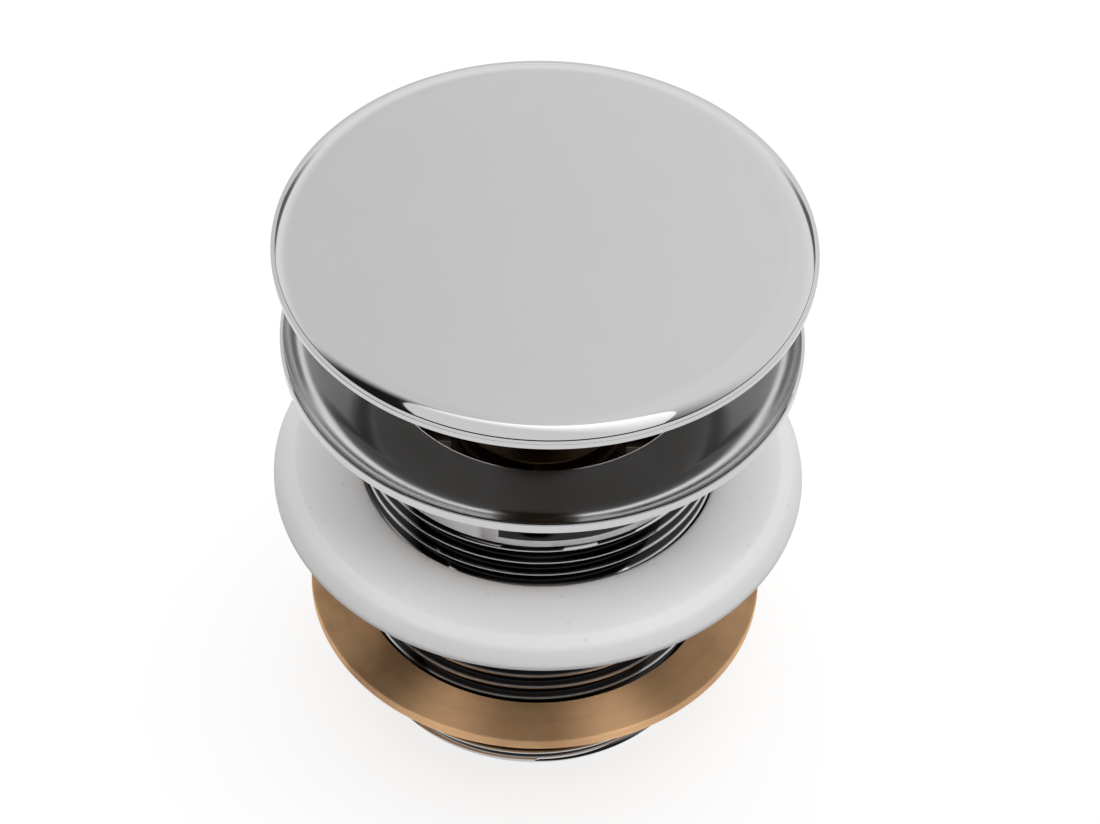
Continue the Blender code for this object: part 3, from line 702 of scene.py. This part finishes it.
edge = 0.25 * MM
groove_r = HOUSING_BORE_R + 2 * CLIP_WIRE_R
groove_half = CLIP_WIRE_R + CLEARANCE
collar = rounded([
    (HOUSING_BORE_R, housing_low.z + 0.2 * MM, 0.0),
    (HOUSING_BORE_R, CLIP_Z - groove_half, 0.05 * MM),
    (groove_r, CLIP_Z - groove_half, 0.05 * MM),
    (groove_r, CLIP_Z + groove_half, 0.05 * MM),
    (HOUSING_BORE_R, CLIP_Z + groove_half, 0.05 * MM),
    (HOUSING_BORE_R, housing_high.z, 0.1 * MM),
    (housing_high.x, housing_high.z, edge),
    (housing_high.x, COLLAR_LOW, edge),
    (HOUSING_R, COLLAR_LOW, 0.0),
], closed=False)
barrel_thread = thread(
    "barrel_thread", HOUSING_R, BARREL_DEPTH, BARREL_PITCH, BARREL_PHASE, housing_low.z, COLLAR_LOW,
    1.0 * MM, (0.4 * MM, 0.4 * MM), CARTRIDGE_BRASS, columns=96,
)
housing = welded(lathe("cartridge_barrel", collar, closed=False, columns=96), [barrel_thread])
fitted(close_end(housing), CARTRIDGE_BRASS, "waste", "brass", "cartridge_housing")

fibre_ring = lathe("fibre_ring", ring_outline(
    HUB_BORE_R, gasket_high.x, gasket_low.z, gasket_high.z, 0.12 * MM,
), columns=96)
fitted(fibre_ring, FIBRE, "waste", "red_fibre", "cartridge_gasket")

base_plug = lathe("barrel_base", rounded([
    (BASE_HOLE_R, base_high.z, 0.2 * MM),
    (HOUSING_BORE_R - CLEARANCE, base_high.z, 0.2 * MM),
    (HOUSING_BORE_R - CLEARANCE, housing_low.z - CLEARANCE, 0.08 * MM),
    (HOUSING_R, housing_low.z - CLEARANCE, 0.15 * MM),
    (HOUSING_R, base_low.z, 0.4 * MM),
    (BASE_HOLE_R, base_low.z, 0.3 * MM),
]), columns=96)
slot_size = (2.4 * HOUSING_R, BASE_SLOT_WIDTH, BASE_SLOT_HEIGHT)
base_slot = box("base_slot", slot_size, (0.0, 0.0, base_low.z))
combine(base_plug, [base_slot], "DIFFERENCE")
fitted(base_plug, CARTRIDGE_BRASS, "waste", "brass", "cartridge_base")


def hex_nut(name, across, bore_r, bottom, top, turn, columns=96):
    """A hexagon nut: a turned blank with chamfered faces, cut flat on six sides and bored."""
    corner_r = across / 2 / math.cos(math.pi / 6)
    rise = (corner_r - across / 2) * math.tan(math.radians(30.0))
    nut = lathe(name, [
        (0.0, top),
        (across / 2, top),
        (corner_r, top - rise),
        (corner_r, bottom + rise),
        (across / 2, bottom),
        (0.0, bottom),
    ], closed=False, columns=columns)
    flats = []
    for i in range(6):
        reach = 2 * corner_r
        centre = ((across + reach) / 2, 0.0, (bottom + top) / 2)
        flats.append(box(f"flat_{i}", (reach, reach, 2 * (top - bottom)), centre, turn + i * math.pi / 3))
    hole = lathe("hole", [
        (0.0, top + OVERCUT),
        (bore_r, top + OVERCUT),
        (bore_r, bottom - OVERCUT),
        (0.0, bottom - OVERCUT),
    ], closed=False, columns=columns)
    combine(nut, flats + [hole], "DIFFERENCE")
    return nut


clamp_nut = hex_nut("clamp_nut", CLAMP_NUT_ACROSS, HUB_BORE_R, locknut_low.z, locknut_high.z, 0.0)
fitted(clamp_nut, CARTRIDGE_BRASS, "waste", "brass", "cartridge_locknut")


def coil_tree():
    """Geometry Nodes for a wire coil: a spiral line swept with a round section."""
    tree, given, result = new_tree("wire_coil", "GeometryNodeTree", [
        ("Radius", "NodeSocketFloat", 0.005),
        ("Turns", "NodeSocketFloat", 6.0),
        ("Steps per turn", "NodeSocketInt", 48),
        ("Bottom", "NodeSocketFloat", 0.0),
        ("Height", "NodeSocketFloat", 0.02),
        ("Wire radius", "NodeSocketFloat", 0.0005),
        ("Wire sides", "NodeSocketInt", 16),
        ("Material", "NodeSocketMaterial", None),
    ], [("Geometry", "NodeSocketGeometry")])
    value = given.outputs
    line = add(tree, "GeometryNodeCurveSpiral", {
        "Resolution": value["Steps per turn"],
        "Rotations": value["Turns"],
        "Start Radius": value["Radius"],
        "End Radius": value["Radius"],
        "Height": value["Height"],
    })
    offset = add(tree, "ShaderNodeCombineXYZ", {"Z": value["Bottom"]})
    lifted = add(tree, "GeometryNodeTransform", {
        "Geometry": line.outputs[0],
        "Translation": offset.outputs[0],
    })
    section = add(tree, "GeometryNodeCurvePrimitiveCircle", {
        "Resolution": value["Wire sides"],
        "Radius": value["Wire radius"],
    })
    wire = add(tree, "GeometryNodeCurveToMesh", {
        "Curve": lifted.outputs[0],
        "Profile Curve": section.outputs[0],
        "Fill Caps": True,
    })
    plain = add(tree, "GeometryNodeRealizeInstances", {"Geometry": wire.outputs[0]})
    painted = add(tree, "GeometryNodeSetMaterial", {
        "Geometry": plain.outputs[0],
        "Material": value["Material"],
    })
    tree.links.new(painted.outputs[0], result.inputs[0])
    return tree


WIRE_COIL = coil_tree()


def outward(obj):
    """Merge an object's doubles and point its faces out."""
    form = bmesh.new()
    form.from_mesh(obj.data)
    bmesh.ops.remove_doubles(form, verts=form.verts, dist=WELD)
    bmesh.ops.recalc_face_normals(form, faces=form.faces)
    form.to_mesh(obj.data)
    form.free()
    return obj


spring_low, spring_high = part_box("return_spring")
SPRING_WIRE_R = 0.5 * MM
SPRING_TURNS = 6.0
CLIP_TURNS = 0.89
spring = grown("spring_coil", WIRE_COIL, {
    "Radius": spring_high.x - SPRING_WIRE_R,
    "Turns": SPRING_TURNS,
    "Bottom": spring_low.z + SPRING_WIRE_R,
    "Height": spring_high.z - spring_low.z - 2 * SPRING_WIRE_R,
    "Wire radius": SPRING_WIRE_R,
    "Material": STEEL,
})
fitted(outward(spring), STEEL, "waste", "steel", "return_spring")
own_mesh(spring)
clip = grown("clip_wire", WIRE_COIL, {
    "Radius": HOUSING_BORE_R,
    "Turns": CLIP_TURNS,
    "Steps per turn": 96,
    "Bottom": CLIP_Z,
    "Height": 0.0,
    "Wire radius": CLIP_WIRE_R,
    "Material": STEEL,
})
fitted(outward(clip), STEEL, "waste", "steel", "retaining_clip")

sleeve = frame["nodes"]["guide_sleeve"]
rotor = frame["nodes"]["index_rotor"]
for moulding in (sleeve, rotor):
    moulding.data.materials.clear()
    moulding.data.materials.append(ACETAL)


# Plunger
# A turned brass rod with a piston at its foot. A rubber ring in the piston's groove wipes the
# sleeve, and the pin below carries the rotor. Its top takes the cap's stud.
ROD_R = 4.0 * MM
PISTON_R = 6.0 * MM
PIN_R = 2.0 * MM
STUD_HOLE_R = 2.8 * MM
GROOVE_R = 4.8 * MM
GROOVE_HALF = 0.75 * MM
RUBBER_TONE = (0.022, 0.022, 0.023, 1.0)
RUBBER_DUST = (0.30, 0.30, 0.29, 1.0)

plunger_low, plunger_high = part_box("plunger")
oring_low, oring_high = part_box("plunger_oring")
stud_low, stud_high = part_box("cap_stud")
PISTON_LOW = 39.175 * MM
PISTON_HIGH = 43.175 * MM


def rubber(name, tone=RUBBER_TONE):
    """Matt moulded rubber with a fine grain and a little dust."""
    mat, tree, shader, where = finish_base(name, tone, 0.0, 0.55)
    grain = add(tree, "ShaderNodeTexNoise", {"Vector": where, "Scale": 1800.0, "Detail": 3.0})
    worn = group(tree, HANDLING, {"Vector": where, "Smudge size": 5.0 * MM})
    dusty = calc(tree, "MULTIPLY", worn.outputs["Smudge"], 0.12)
    tree.links.new(mixed(tree, dusty, tone, RUBBER_DUST), shader.inputs["Base Color"])
    tree.links.new(bump(tree, grain.outputs[0], 0.02 * MM), shader.inputs["Normal"])
    return mat


RUBBER = rubber("black_rubber")
ring_z = (oring_low.z + oring_high.z) / 2
ring_wire_r = (oring_high.z - oring_low.z) / 2
rod = lathe("plunger_rod", [
    (0.0, stud_low.z - CLEARANCE),
    *rounded([
        (STUD_HOLE_R, stud_low.z - CLEARANCE, 0.0),
        (STUD_HOLE_R, plunger_high.z, 0.15 * MM),
        (ROD_R, plunger_high.z, 0.3 * MM),
        (ROD_R, PISTON_HIGH, 0.12 * MM),
        (PISTON_R, PISTON_HIGH, 0.2 * MM),
        (PISTON_R, ring_z + GROOVE_HALF, 0.08 * MM),
        (GROOVE_R, ring_z + GROOVE_HALF, 0.1 * MM),
        (GROOVE_R, ring_z - GROOVE_HALF, 0.1 * MM),
        (PISTON_R, ring_z - GROOVE_HALF, 0.08 * MM),
        (PISTON_R, PISTON_LOW, 0.15 * MM),
        (PIN_R, PISTON_LOW, 0.1 * MM),
        (PIN_R, plunger_low.z, 0.3 * MM),
        (0.0, plunger_low.z, 0.0),
    ], closed=False),
], closed=False, columns=96)
fitted(rod, CARTRIDGE_BRASS, "plunger_rod", "brass", "plunger")
ring_section = arc(oring_high.x - ring_wire_r, ring_z, ring_wire_r, ring_wire_r, 90, -252, 19)
wiper = lathe("wiper_ring", ring_section, columns=96)
fitted(wiper, RUBBER, "plunger_rod", "black_rubber", "plunger_oring")


# Cap
# A full-cover disc, pressed in brass and chrome plated. Its broad face is lightly domed and
# polished less sharply than the rounded shoulder; a fine crease parts the shoulder from the
# beaded edge. A boss below takes the stud.
cap_low, cap_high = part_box("cap")
CAP_R = cap_high.x
SHOULDER_R = 5.0 * MM
SHOULDER_START = math.radians(3.7)
SHOULDER_END = math.radians(38.0)
CREASE_R = CAP_R - 0.6 * MM
CREASE_Z = cap_low.z + 1.02 * MM
CREASE_STEP = 0.12 * MM
RECESS_Z = 77.05 * MM
BOSS_R = 6.5 * MM
BOSS_Z = 76.35 * MM
EDGE_WALL = 1.2 * MM
# Painted shade: the underside's darker colour; its roughness is the duller plate there.
UNDERSIDE_SHADE_TONE = (0.42, 0.415, 0.42, 1.0)
UNDERSIDE_ROUGH = 0.4
MOTTLE_TONE = (0.40, 0.395, 0.40, 1.0)
# Painted shade: near-black colour for the crease line.
CREASE_SHADE_TONE = (0.03, 0.03, 0.03, 1.0)
FACE_ROUGH = 0.17
SHOULDER_ROUGH = 0.045


def cap_chrome():
    """Plate on the cap: a satin broad face with a faint mottle, a bright shoulder and edge, a thin line of
    painted shade in the crease, and a duller underside whose darker colour is painted shade."""
    mat, tree, shader, where = finish_base("plated_cap", CHROME_TONE, 1.0, 0.05)
    marks = group(tree, TURNING_MARKS, {"Vector": where, "Spacing": 0.9 * MM})
    worn = group(tree, HANDLING, {"Vector": where, "Smudge size": 16.0 * MM, "Speck size": 2.5 * MM})
    radius, height = polar(tree, where)
    face = rerange(tree, radius, CREASE_R - 2.6 * MM, CREASE_R - 4.2 * MM)
    above = rerange(tree, height, CREASE_Z, CREASE_Z + 0.3 * MM)
    satin = calc(tree, "MULTIPLY", face, above)
    mottle = add(tree, "ShaderNodeTexNoise", {
        "Vector": where,
        "Scale": 160.0,
        "Detail": 6.0,
        "Roughness": 0.6,
    })
    tone = calc(tree, "MULTIPLY", satin, calc(tree, "MULTIPLY", mottle.outputs[0], 0.10))
    plate = mixed(tree, tone, CHROME_TONE, MOTTLE_TONE)
    # Painted shade: a thin dark line coloured into the crease below the shoulder.
    from_step = calc(tree, "ABSOLUTE", calc(tree, "SUBTRACT", radius, CREASE_R + 0.01 * MM))
    near_step = rerange(tree, from_step, 0.04 * MM, 0.03 * MM)
    below_edge = rerange(tree, height, CREASE_Z, CREASE_Z - 0.01 * MM)
    above_rim = rerange(tree, height, CREASE_Z - 0.5 * MM, CREASE_Z - 0.4 * MM)
    crease_shade = calc(tree, "MULTIPLY", near_step, calc(tree, "MULTIPLY", below_edge, above_rim))
    crease_shaded = mixed(tree, calc(tree, "MULTIPLY", crease_shade, 0.8), plate, CREASE_SHADE_TONE)
    # The underside is duller plate, and its darker colour is painted shade under the cap.
    within_edge = rerange(tree, radius, CAP_R - EDGE_WALL + 0.05 * MM, CAP_R - EDGE_WALL - 0.05 * MM)
    below_plate = rerange(tree, height, RECESS_Z + 0.3 * MM, RECESS_Z + 0.2 * MM)
    dull_shaded_underside = calc(tree, "MULTIPLY", within_edge, below_plate)
    shade = mixed(tree, dull_shaded_underside, crease_shaded, UNDERSIDE_SHADE_TONE)
    satin_rough = calc(tree, "MULTIPLY_ADD", worn.outputs["Smudge"], 0.05, FACE_ROUGH)
    upper_rough = calc(tree, "MULTIPLY_ADD", satin, satin_rough, SHOULDER_ROUGH)
    rough = calc(tree, "MULTIPLY_ADD", dull_shaded_underside, UNDERSIDE_ROUGH, upper_rough)
    tree.links.new(shade, shader.inputs["Base Color"])
    tree.links.new(rough, shader.inputs["Roughness"])
    tree.links.new(bump(tree, marks.outputs["Height"], 0.001 * MM), shader.inputs["Normal"])
    return mat


CAP_CHROME = cap_chrome()
shoulder_wide = SHOULDER_R * (math.sin(SHOULDER_END) - math.sin(SHOULDER_START))
shoulder_rise = SHOULDER_R * (math.cos(SHOULDER_START) - math.cos(SHOULDER_END))
shoulder_r = CREASE_R - shoulder_wide
cap_dome = cap_high.z - CREASE_Z - shoulder_rise
DOME_STEPS = 24
dome = []
for i in range(DOME_STEPS):
    radius = shoulder_r * i / DOME_STEPS
    dome.append((radius, cap_high.z - cap_dome * (radius / shoulder_r) ** 2))
turn_centre_r = CREASE_R - SHOULDER_R * math.sin(SHOULDER_END)
turn_centre_z = CREASE_Z - SHOULDER_R * math.cos(SHOULDER_END)
start_angle = 90.0 - math.degrees(SHOULDER_START)
end_angle = 90.0 - math.degrees(SHOULDER_END)
shoulder = arc(turn_centre_r, turn_centre_z, SHOULDER_R, SHOULDER_R, start_angle, end_angle, 32)
bead = rounded([
    (CREASE_R, CREASE_Z, 0.0),
    (CREASE_R + 0.02 * MM, CREASE_Z - CREASE_STEP, 0.0),
    (CAP_R, CREASE_Z - CREASE_STEP - 0.02 * MM, 0.12 * MM),
    (CAP_R, cap_low.z, 0.08 * MM),
    (CAP_R - EDGE_WALL, cap_low.z, 0.2 * MM),
    (CAP_R - EDGE_WALL - 0.5 * MM, RECESS_Z, 0.3 * MM),
    (BOSS_R, RECESS_Z, 0.3 * MM),
    (BOSS_R, BOSS_Z, 0.15 * MM),
    (STUD_HOLE_R, BOSS_Z, 0.1 * MM),
    (STUD_HOLE_R, stud_high.z + CLEARANCE, 0.0),
    (0.0, stud_high.z + CLEARANCE, 0.0),
], closed=False)
plated_cap = lathe("plated_cap", dome + shoulder[:-1] + bead, closed=False, columns=256)
fitted(plated_cap, CAP_CHROME, "cap_head", "chrome", "cap")


# Stud and plug
# The cap screws to the plunger by a steel stud, held by a thin hexagon nut. Under it a white
# carrier and a retainer ring clamp the rubber seal that closes on the throat.
STUD_PITCH = 0.8 * MM
STUD_DEPTH = 0.35 * MM
STUD_PHASE = 66.0 * MM
CARRIER_R = 21.8 * MM
SEAL_R = 23.1 * MM
SEAL_WIDTH = 6.0 * MM
SEAL_BEVEL = 0.9 * MM
CAP_NUT_ACROSS = 9.526 * MM
SEAL_TONE = (0.20, 0.20, 0.20, 1.0)
carrier_low, carrier_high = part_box("seal_carrier")
seal_low, seal_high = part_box("plug_seal")
retainer_low, retainer_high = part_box("seal_retainer")
capnut_low, capnut_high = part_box("cap_locknut")
STUD_R = stud_high.x
ROD_HOLE_R = ROD_R + CLEARANCE

stud_ends = lathe("stud_end", [(0.0, stud_high.z), (STUD_R, stud_high.z)], closed=False, columns=64)
stud_thread = thread(
    "stud_thread", STUD_R, STUD_DEPTH, STUD_PITCH, STUD_PHASE, stud_low.z, stud_high.z,
    0.2 * MM, (0.3 * MM, 0.3 * MM), STEEL, columns=64,
)
stud = welded(stud_ends, [stud_thread])


def capped(obj):
    """Fill the one loop that is still open with a face."""
    form = bmesh.new()
    form.from_mesh(obj.data)
    bmesh.ops.holes_fill(form, edges=[edge for edge in form.edges if edge.is_boundary], sides=0)
    form.to_mesh(obj.data)
    form.free()
    return obj


capped(stud)
stud.name = "cap_screw"
fitted(stud, STEEL, "cap_head", "steel", "cap_stud")
cap_nut = hex_nut(
    "cap_nut", CAP_NUT_ACROSS, STUD_R + CLEARANCE, capnut_low.z, capnut_high.z, math.pi / 6, columns=64,
)
fitted(cap_nut, CARTRIDGE_BRASS, "cap_head", "brass", "cap_locknut")

carrier = lathe("carrier_disc", ring_outline(
    ROD_HOLE_R, CARRIER_R, carrier_low.z, carrier_high.z, 0.35 * MM,
))
fitted(carrier, ACETAL, "cap_head", "white_plastic", "seal_carrier")
seal = lathe("rubber_seal", rounded([
    (SEAL_R - SEAL_WIDTH, seal_high.z, 0.25 * MM),
    (SEAL_R - SEAL_BEVEL, seal_high.z, 0.4 * MM),
    (SEAL_R, (seal_high.z + seal_low.z) / 2, 0.35 * MM),
    (SEAL_R - SEAL_BEVEL, seal_low.z, 0.4 * MM),
    (SEAL_R - SEAL_WIDTH, seal_low.z, 0.25 * MM),
]))
fitted(seal, rubber("seal_rubber", SEAL_TONE), "cap_head", "black_rubber", "plug_seal")
retainer = lathe("retainer_ring", ring_outline(
    ROD_HOLE_R, retainer_high.x, retainer_low.z, retainer_high.z, 0.4 * MM,
))
fitted(retainer, ACETAL, "cap_head", "white_plastic", "seal_retainer")


# Backing washer
# A soft conical washer, moulded in milky plastic, that lies loose on the thread. Its flat upper
# face steps down softly to a conical side with a rounded rim.
washer_low, washer_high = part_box("backing_washer")
WASHER_R = washer_high.x
WASHER_BORE_R = THREAD_R + CLEARANCE
WASHER_STEP_R = 33.3 * MM
MILKY_TONE = (0.90, 0.895, 0.895, 1.0)
# Painted light: a warm tint for light from the brass round the bore.
BRASS_LIGHT_TINT = (0.88, 0.75, 0.66, 1.0)
MILKY_SPECK = (0.55, 0.54, 0.53, 1.0)


def milky_plastic():
    """Soft translucent plastic: satin, with specks and painted warm light from the brass near the thread.
    """
    mat, tree, shader, where = finish_base("milky_plastic", MILKY_TONE, 0.0, 0.42)
    shader.inputs["Specular IOR Level"].default_value = 0.25
    shader.inputs["Subsurface Weight"].default_value = 0.65
    shader.inputs["Subsurface Radius"].default_value = (1.0, 0.97, 0.94)
    shader.inputs["Subsurface Scale"].default_value = 4.0 * MM
    worn = group(tree, HANDLING, {"Vector": where, "Smudge size": 14.0 * MM, "Speck size": 3.0 * MM})
    radius = polar(tree, where)[0]
    # Painted light: a warm brass tint coloured round the bore, for light from the brass thread and nut.
    near = rerange(tree, radius, WASHER_BORE_R + 3.0 * MM, WASHER_BORE_R)
    cloud = add(tree, "ShaderNodeTexNoise", {"Vector": where, "Scale": 45.0, "Detail": 3.0})
    brass_light_share = calc(tree, "MULTIPLY", near, rerange(tree, cloud.outputs[0], 0.35, 0.65))
    shade = mixed(tree, calc(tree, "MULTIPLY", brass_light_share, 0.6), MILKY_TONE, BRASS_LIGHT_TINT)
    specks = calc(tree, "MULTIPLY", worn.outputs["Speck"], 0.25)
    specked = mixed(tree, specks, shade, MILKY_SPECK)
    fine = add(tree, "ShaderNodeTexNoise", {"Vector": where, "Scale": 900.0, "Detail": 2.0})
    rough = calc(tree, "MULTIPLY_ADD", worn.outputs["Smudge"], 0.14, 0.36)
    tree.links.new(specked, shader.inputs["Base Color"])
    tree.links.new(rough, shader.inputs["Roughness"])
    tree.links.new(bump(tree, fine.outputs[0], 0.01 * MM), shader.inputs["Normal"])
    return mat


MILKY = milky_plastic()
top = washer_high.z
washer = lathe("milky_washer", rounded([
    (WASHER_BORE_R, top - 0.1 * MM, 0.35 * MM),
    (WASHER_STEP_R - 0.3 * MM, top, 0.3 * MM),
    (WASHER_STEP_R + 0.3 * MM, top - 0.35 * MM, 0.3 * MM),
    (WASHER_R - 1.3 * MM, top - 1.05 * MM, 0.7 * MM),
    (WASHER_R, washer_low.z + 1.0 * MM, 0.4 * MM),
    (WASHER_R, washer_low.z + 0.4 * MM, 0.2 * MM),
    (WASHER_R - 0.5 * MM, washer_low.z, 0.3 * MM),
    (WASHER_BORE_R, washer_low.z, 0.4 * MM),
], steps=8))
fitted(washer, MILKY, "washer", "washer_plastic", "backing_washer")


# Backnut
# A thin nut turned from brass bar, with a chamfered flange and a hub below. Four notches in
# the hub take a spanner. It is left unplated, with the tool's rings on its faces.
nut_low, nut_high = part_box("backnut")
NUT_R = nut_high.x
NUT_BORE_R = THREAD_R + CLEARANCE
NUT_HUB_R = NUT_BORE_R + 2.75 * MM
NUT_FLANGE_Z = 12.35 * MM
NUT_NOTCH = 5.0 * MM
NUT_NOTCH_SHARE = 0.7
NUT_TONE = (0.84, 0.53, 0.29, 1.0)
NUT_DARK = (0.40, 0.23, 0.115, 1.0)

NUT_BRASS = turned_brass("nut_brass", 0.28 * MM, NUT_TONE, NUT_DARK, 0.48, grain=0.95)
nut = lathe("turned_nut", rounded([
    (NUT_BORE_R, nut_high.z, 0.3 * MM),
    (NUT_R, nut_high.z, 0.2 * MM),
    (NUT_R, NUT_FLANGE_Z, 0.25 * MM),
    (NUT_HUB_R, NUT_FLANGE_Z, 0.35 * MM),
    (NUT_HUB_R, nut_low.z, 0.35 * MM),
    (NUT_BORE_R, nut_low.z, 0.3 * MM),
]))
notch_size = (NUT_NOTCH, 3 * NUT_R, 2 * NUT_NOTCH_SHARE * (NUT_FLANGE_Z - nut_low.z))
notches = []
for i in range(2):
    notches.append(box(f"notch_{i}", notch_size, (0.0, 0.0, nut_low.z), i * math.pi / 2))
combine(nut, notches, "DIFFERENCE")
fitted(nut, NUT_BRASS, "nut", "brass", "backnut")


# Floor, light and camera
# A pale floor that the tail stands on, and a white room that goes dark behind the camera and has
# a dark flag low on either side. A large round softbox hangs overhead, and two smaller ones light
# the satin washer and nut. The camera has the photograph's angle and distance.
FLOOR_REACH = 4.0
FLOOR_TONE = (0.35, 0.35, 0.35, 1.0)
FLOOR_GLOW = 0.78
LENS = 147.27
CAMERA_PITCH = 0.8094423
CAMERA_ROLL = 0.034222
CAMERA_DISTANCE = 581.334 * MM
CAMERA_SIDE = 0.60486 * MM
CAMERA_LIFT = -21.62692 * MM
CAMERA_TARGET = Vector((0.0, 0.0, 77.0 * MM))

floor_form = bmesh.new()
bmesh.ops.create_grid(floor_form, x_segments=1, y_segments=1, size=FLOOR_REACH)
floor_mesh = bpy.data.meshes.new("floor")
floor_form.to_mesh(floor_mesh)
floor_form.free()
floor = place("floor", floor_mesh)
floor_mat = bpy.data.materials.new("pale_floor")
floor_mat.use_nodes = True
floor_tree = floor_mat.node_tree
floor_shader = floor_tree.nodes["Principled BSDF"]
floor_shader.inputs["Base Color"].default_value = FLOOR_TONE
floor_shader.inputs["Roughness"].default_value = 1.0
floor_shader.inputs["Specular IOR Level"].default_value = 0.0
floor_shader.inputs["Emission Color"].default_value = (1.0, 1.0, 1.0, 1.0)
ray = add(floor_tree, "ShaderNodeLightPath").outputs
seen = calc(floor_tree, "MAXIMUM", ray["Is Camera Ray"], ray["Is Glossy Ray"])
seen = calc(floor_tree, "MAXIMUM", seen, ray["Is Transmission Ray"])
glow = calc(floor_tree, "MULTIPLY", seen, FLOOR_GLOW)
floor_tree.links.new(glow, floor_shader.inputs["Emission Strength"])
floor.data.materials.append(floor_mat)

ROOM_DARK = 0.018
ROOM_LOW = 1.17
ROOM_EDGE = -0.03
ROOM_FULL = 0.22
EDGE_LEAN = -0.5
EDGE_TURN = (-0.2, 0.5)
ACROSS_REACH = 0.12
ACROSS_LEVEL = (0.93, 1.07)
LOW_HEIGHT = (0.62, 0.30)
FLAG_ASIDE = (0.35, 0.55)
FLAG_HEIGHT = (0.24, 0.16)
FLAG_DEPTH = 0.85
world = bpy.data.worlds.new("studio")
bpy.context.scene.world = world
world.use_nodes = True
sky = world.node_tree
background = sky.nodes["Background"]
all_round = add(sky, "ShaderNodeTexCoord").outputs["Generated"]
direction = add(sky, "ShaderNodeSeparateXYZ", {0: all_round}).outputs
aside = rerange(sky, direction["X"], *EDGE_TURN)
front_edge = calc(sky, "MULTIPLY_ADD", aside, EDGE_LEAN, ROOM_EDGE)
past_edge = calc(sky, "SUBTRACT", direction["Y"], front_edge)
behind = calc(sky, "DIVIDE", past_edge, calc(sky, "SUBTRACT", ROOM_FULL, front_edge))
lit = rerange(sky, behind, 0.0, 1.0, ROOM_DARK, 1.0)
across = rerange(sky, direction["X"], -ACROSS_REACH, ACROSS_REACH, *ACROSS_LEVEL, smooth=False)
low = rerange(sky, direction["Z"], *LOW_HEIGHT)
level = calc(sky, "MULTIPLY_ADD", low, calc(sky, "SUBTRACT", ROOM_LOW, across), across)
at_side = rerange(sky, calc(sky, "ABSOLUTE", direction["X"]), *FLAG_ASIDE)
at_foot = rerange(sky, direction["Z"], *FLAG_HEIGHT)
flag = calc(sky, "MULTIPLY", calc(sky, "MULTIPLY", at_side, at_foot), FLAG_DEPTH)
room = calc(sky, "MULTIPLY", calc(sky, "MULTIPLY", lit, level), calc(sky, "SUBTRACT", 1.0, flag))
camera_ray = add(sky, "ShaderNodeLightPath").outputs["Is Camera Ray"]
sky.links.new(calc(sky, "MAXIMUM", room, camera_ray), background.inputs["Strength"])
background.inputs["Color"].default_value = (1.0, 1.0, 1.0, 1.0)

LAMP_DISTANCE = 0.9


def softbox(name, aim_at, turn_right, elevation, radius, brightness):
    """A round soft lamp on the front side, turned to the right about the axis, aimed at a place."""
    reach = math.cos(elevation)
    toward = Vector((reach * math.sin(turn_right), -reach * math.cos(turn_right), math.sin(elevation)))
    lamp = bpy.data.lights.new(name, "AREA")
    lamp.shape = "DISK"
    lamp.size = 2 * radius
    lamp.energy = brightness * math.pi * math.pi * radius ** 2
    holder = bpy.data.objects.new(name, lamp)
    bpy.context.scene.collection.objects.link(holder)
    holder.location = aim_at + toward * LAMP_DISTANCE
    holder.rotation_euler = (-toward).to_track_quat("-Z", "Y").to_euler()
    return holder


LAMP_ELEVATION = math.radians(67.0)
LAMP_REACH = math.radians(33.0)
LAMP_BRIGHT = 1.0
lamp_r = LAMP_DISTANCE * math.tan(LAMP_REACH)
lit_point = Vector((0.0, -20.0 * MM, 70.0 * MM))
softbox("softbox", lit_point, 0.0, LAMP_ELEVATION, lamp_r, LAMP_BRIGHT)
SIDE_TURN = math.radians(50.0)
SIDE_ELEVATION = math.radians(48.0)
SIDE_R = 0.2
satin_pieces = bpy.data.collections.new("satin_pieces")
satin_pieces.objects.link(washer)
satin_pieces.objects.link(nut)
for side, side_turn, side_bright in (("right", SIDE_TURN, 5.3), ("left", -SIDE_TURN, 4.4)):
    lamp = softbox(f"{side}_softbox", lit_point, side_turn, SIDE_ELEVATION, SIDE_R, side_bright)
    lamp.light_linking.receiver_collection = satin_pieces

ahead = Vector((0.0, math.cos(CAMERA_PITCH), -math.sin(CAMERA_PITCH)))
level_right = Vector((1.0, 0.0, 0.0))
level_up = Vector((0.0, math.sin(CAMERA_PITCH), math.cos(CAMERA_PITCH)))
right = math.cos(CAMERA_ROLL) * level_right + math.sin(CAMERA_ROLL) * level_up
up = math.cos(CAMERA_ROLL) * level_up - math.sin(CAMERA_ROLL) * level_right
eye = CAMERA_TARGET - ahead * CAMERA_DISTANCE + right * CAMERA_SIDE + up * CAMERA_LIFT
view = bpy.data.cameras.new("camera")
view.lens = LENS
view.sensor_width = 36.0
view.clip_start = 0.01
view.clip_end = 50.0
camera = bpy.data.objects.new("camera", view)
bpy.context.scene.collection.objects.link(camera)
turn = Matrix((right, up, -ahead)).transposed().to_4x4()
camera.matrix_world = Matrix.Translation(eye) @ turn
bpy.context.scene.camera = camera
bpy.context.scene.view_settings.view_transform = "Standard"
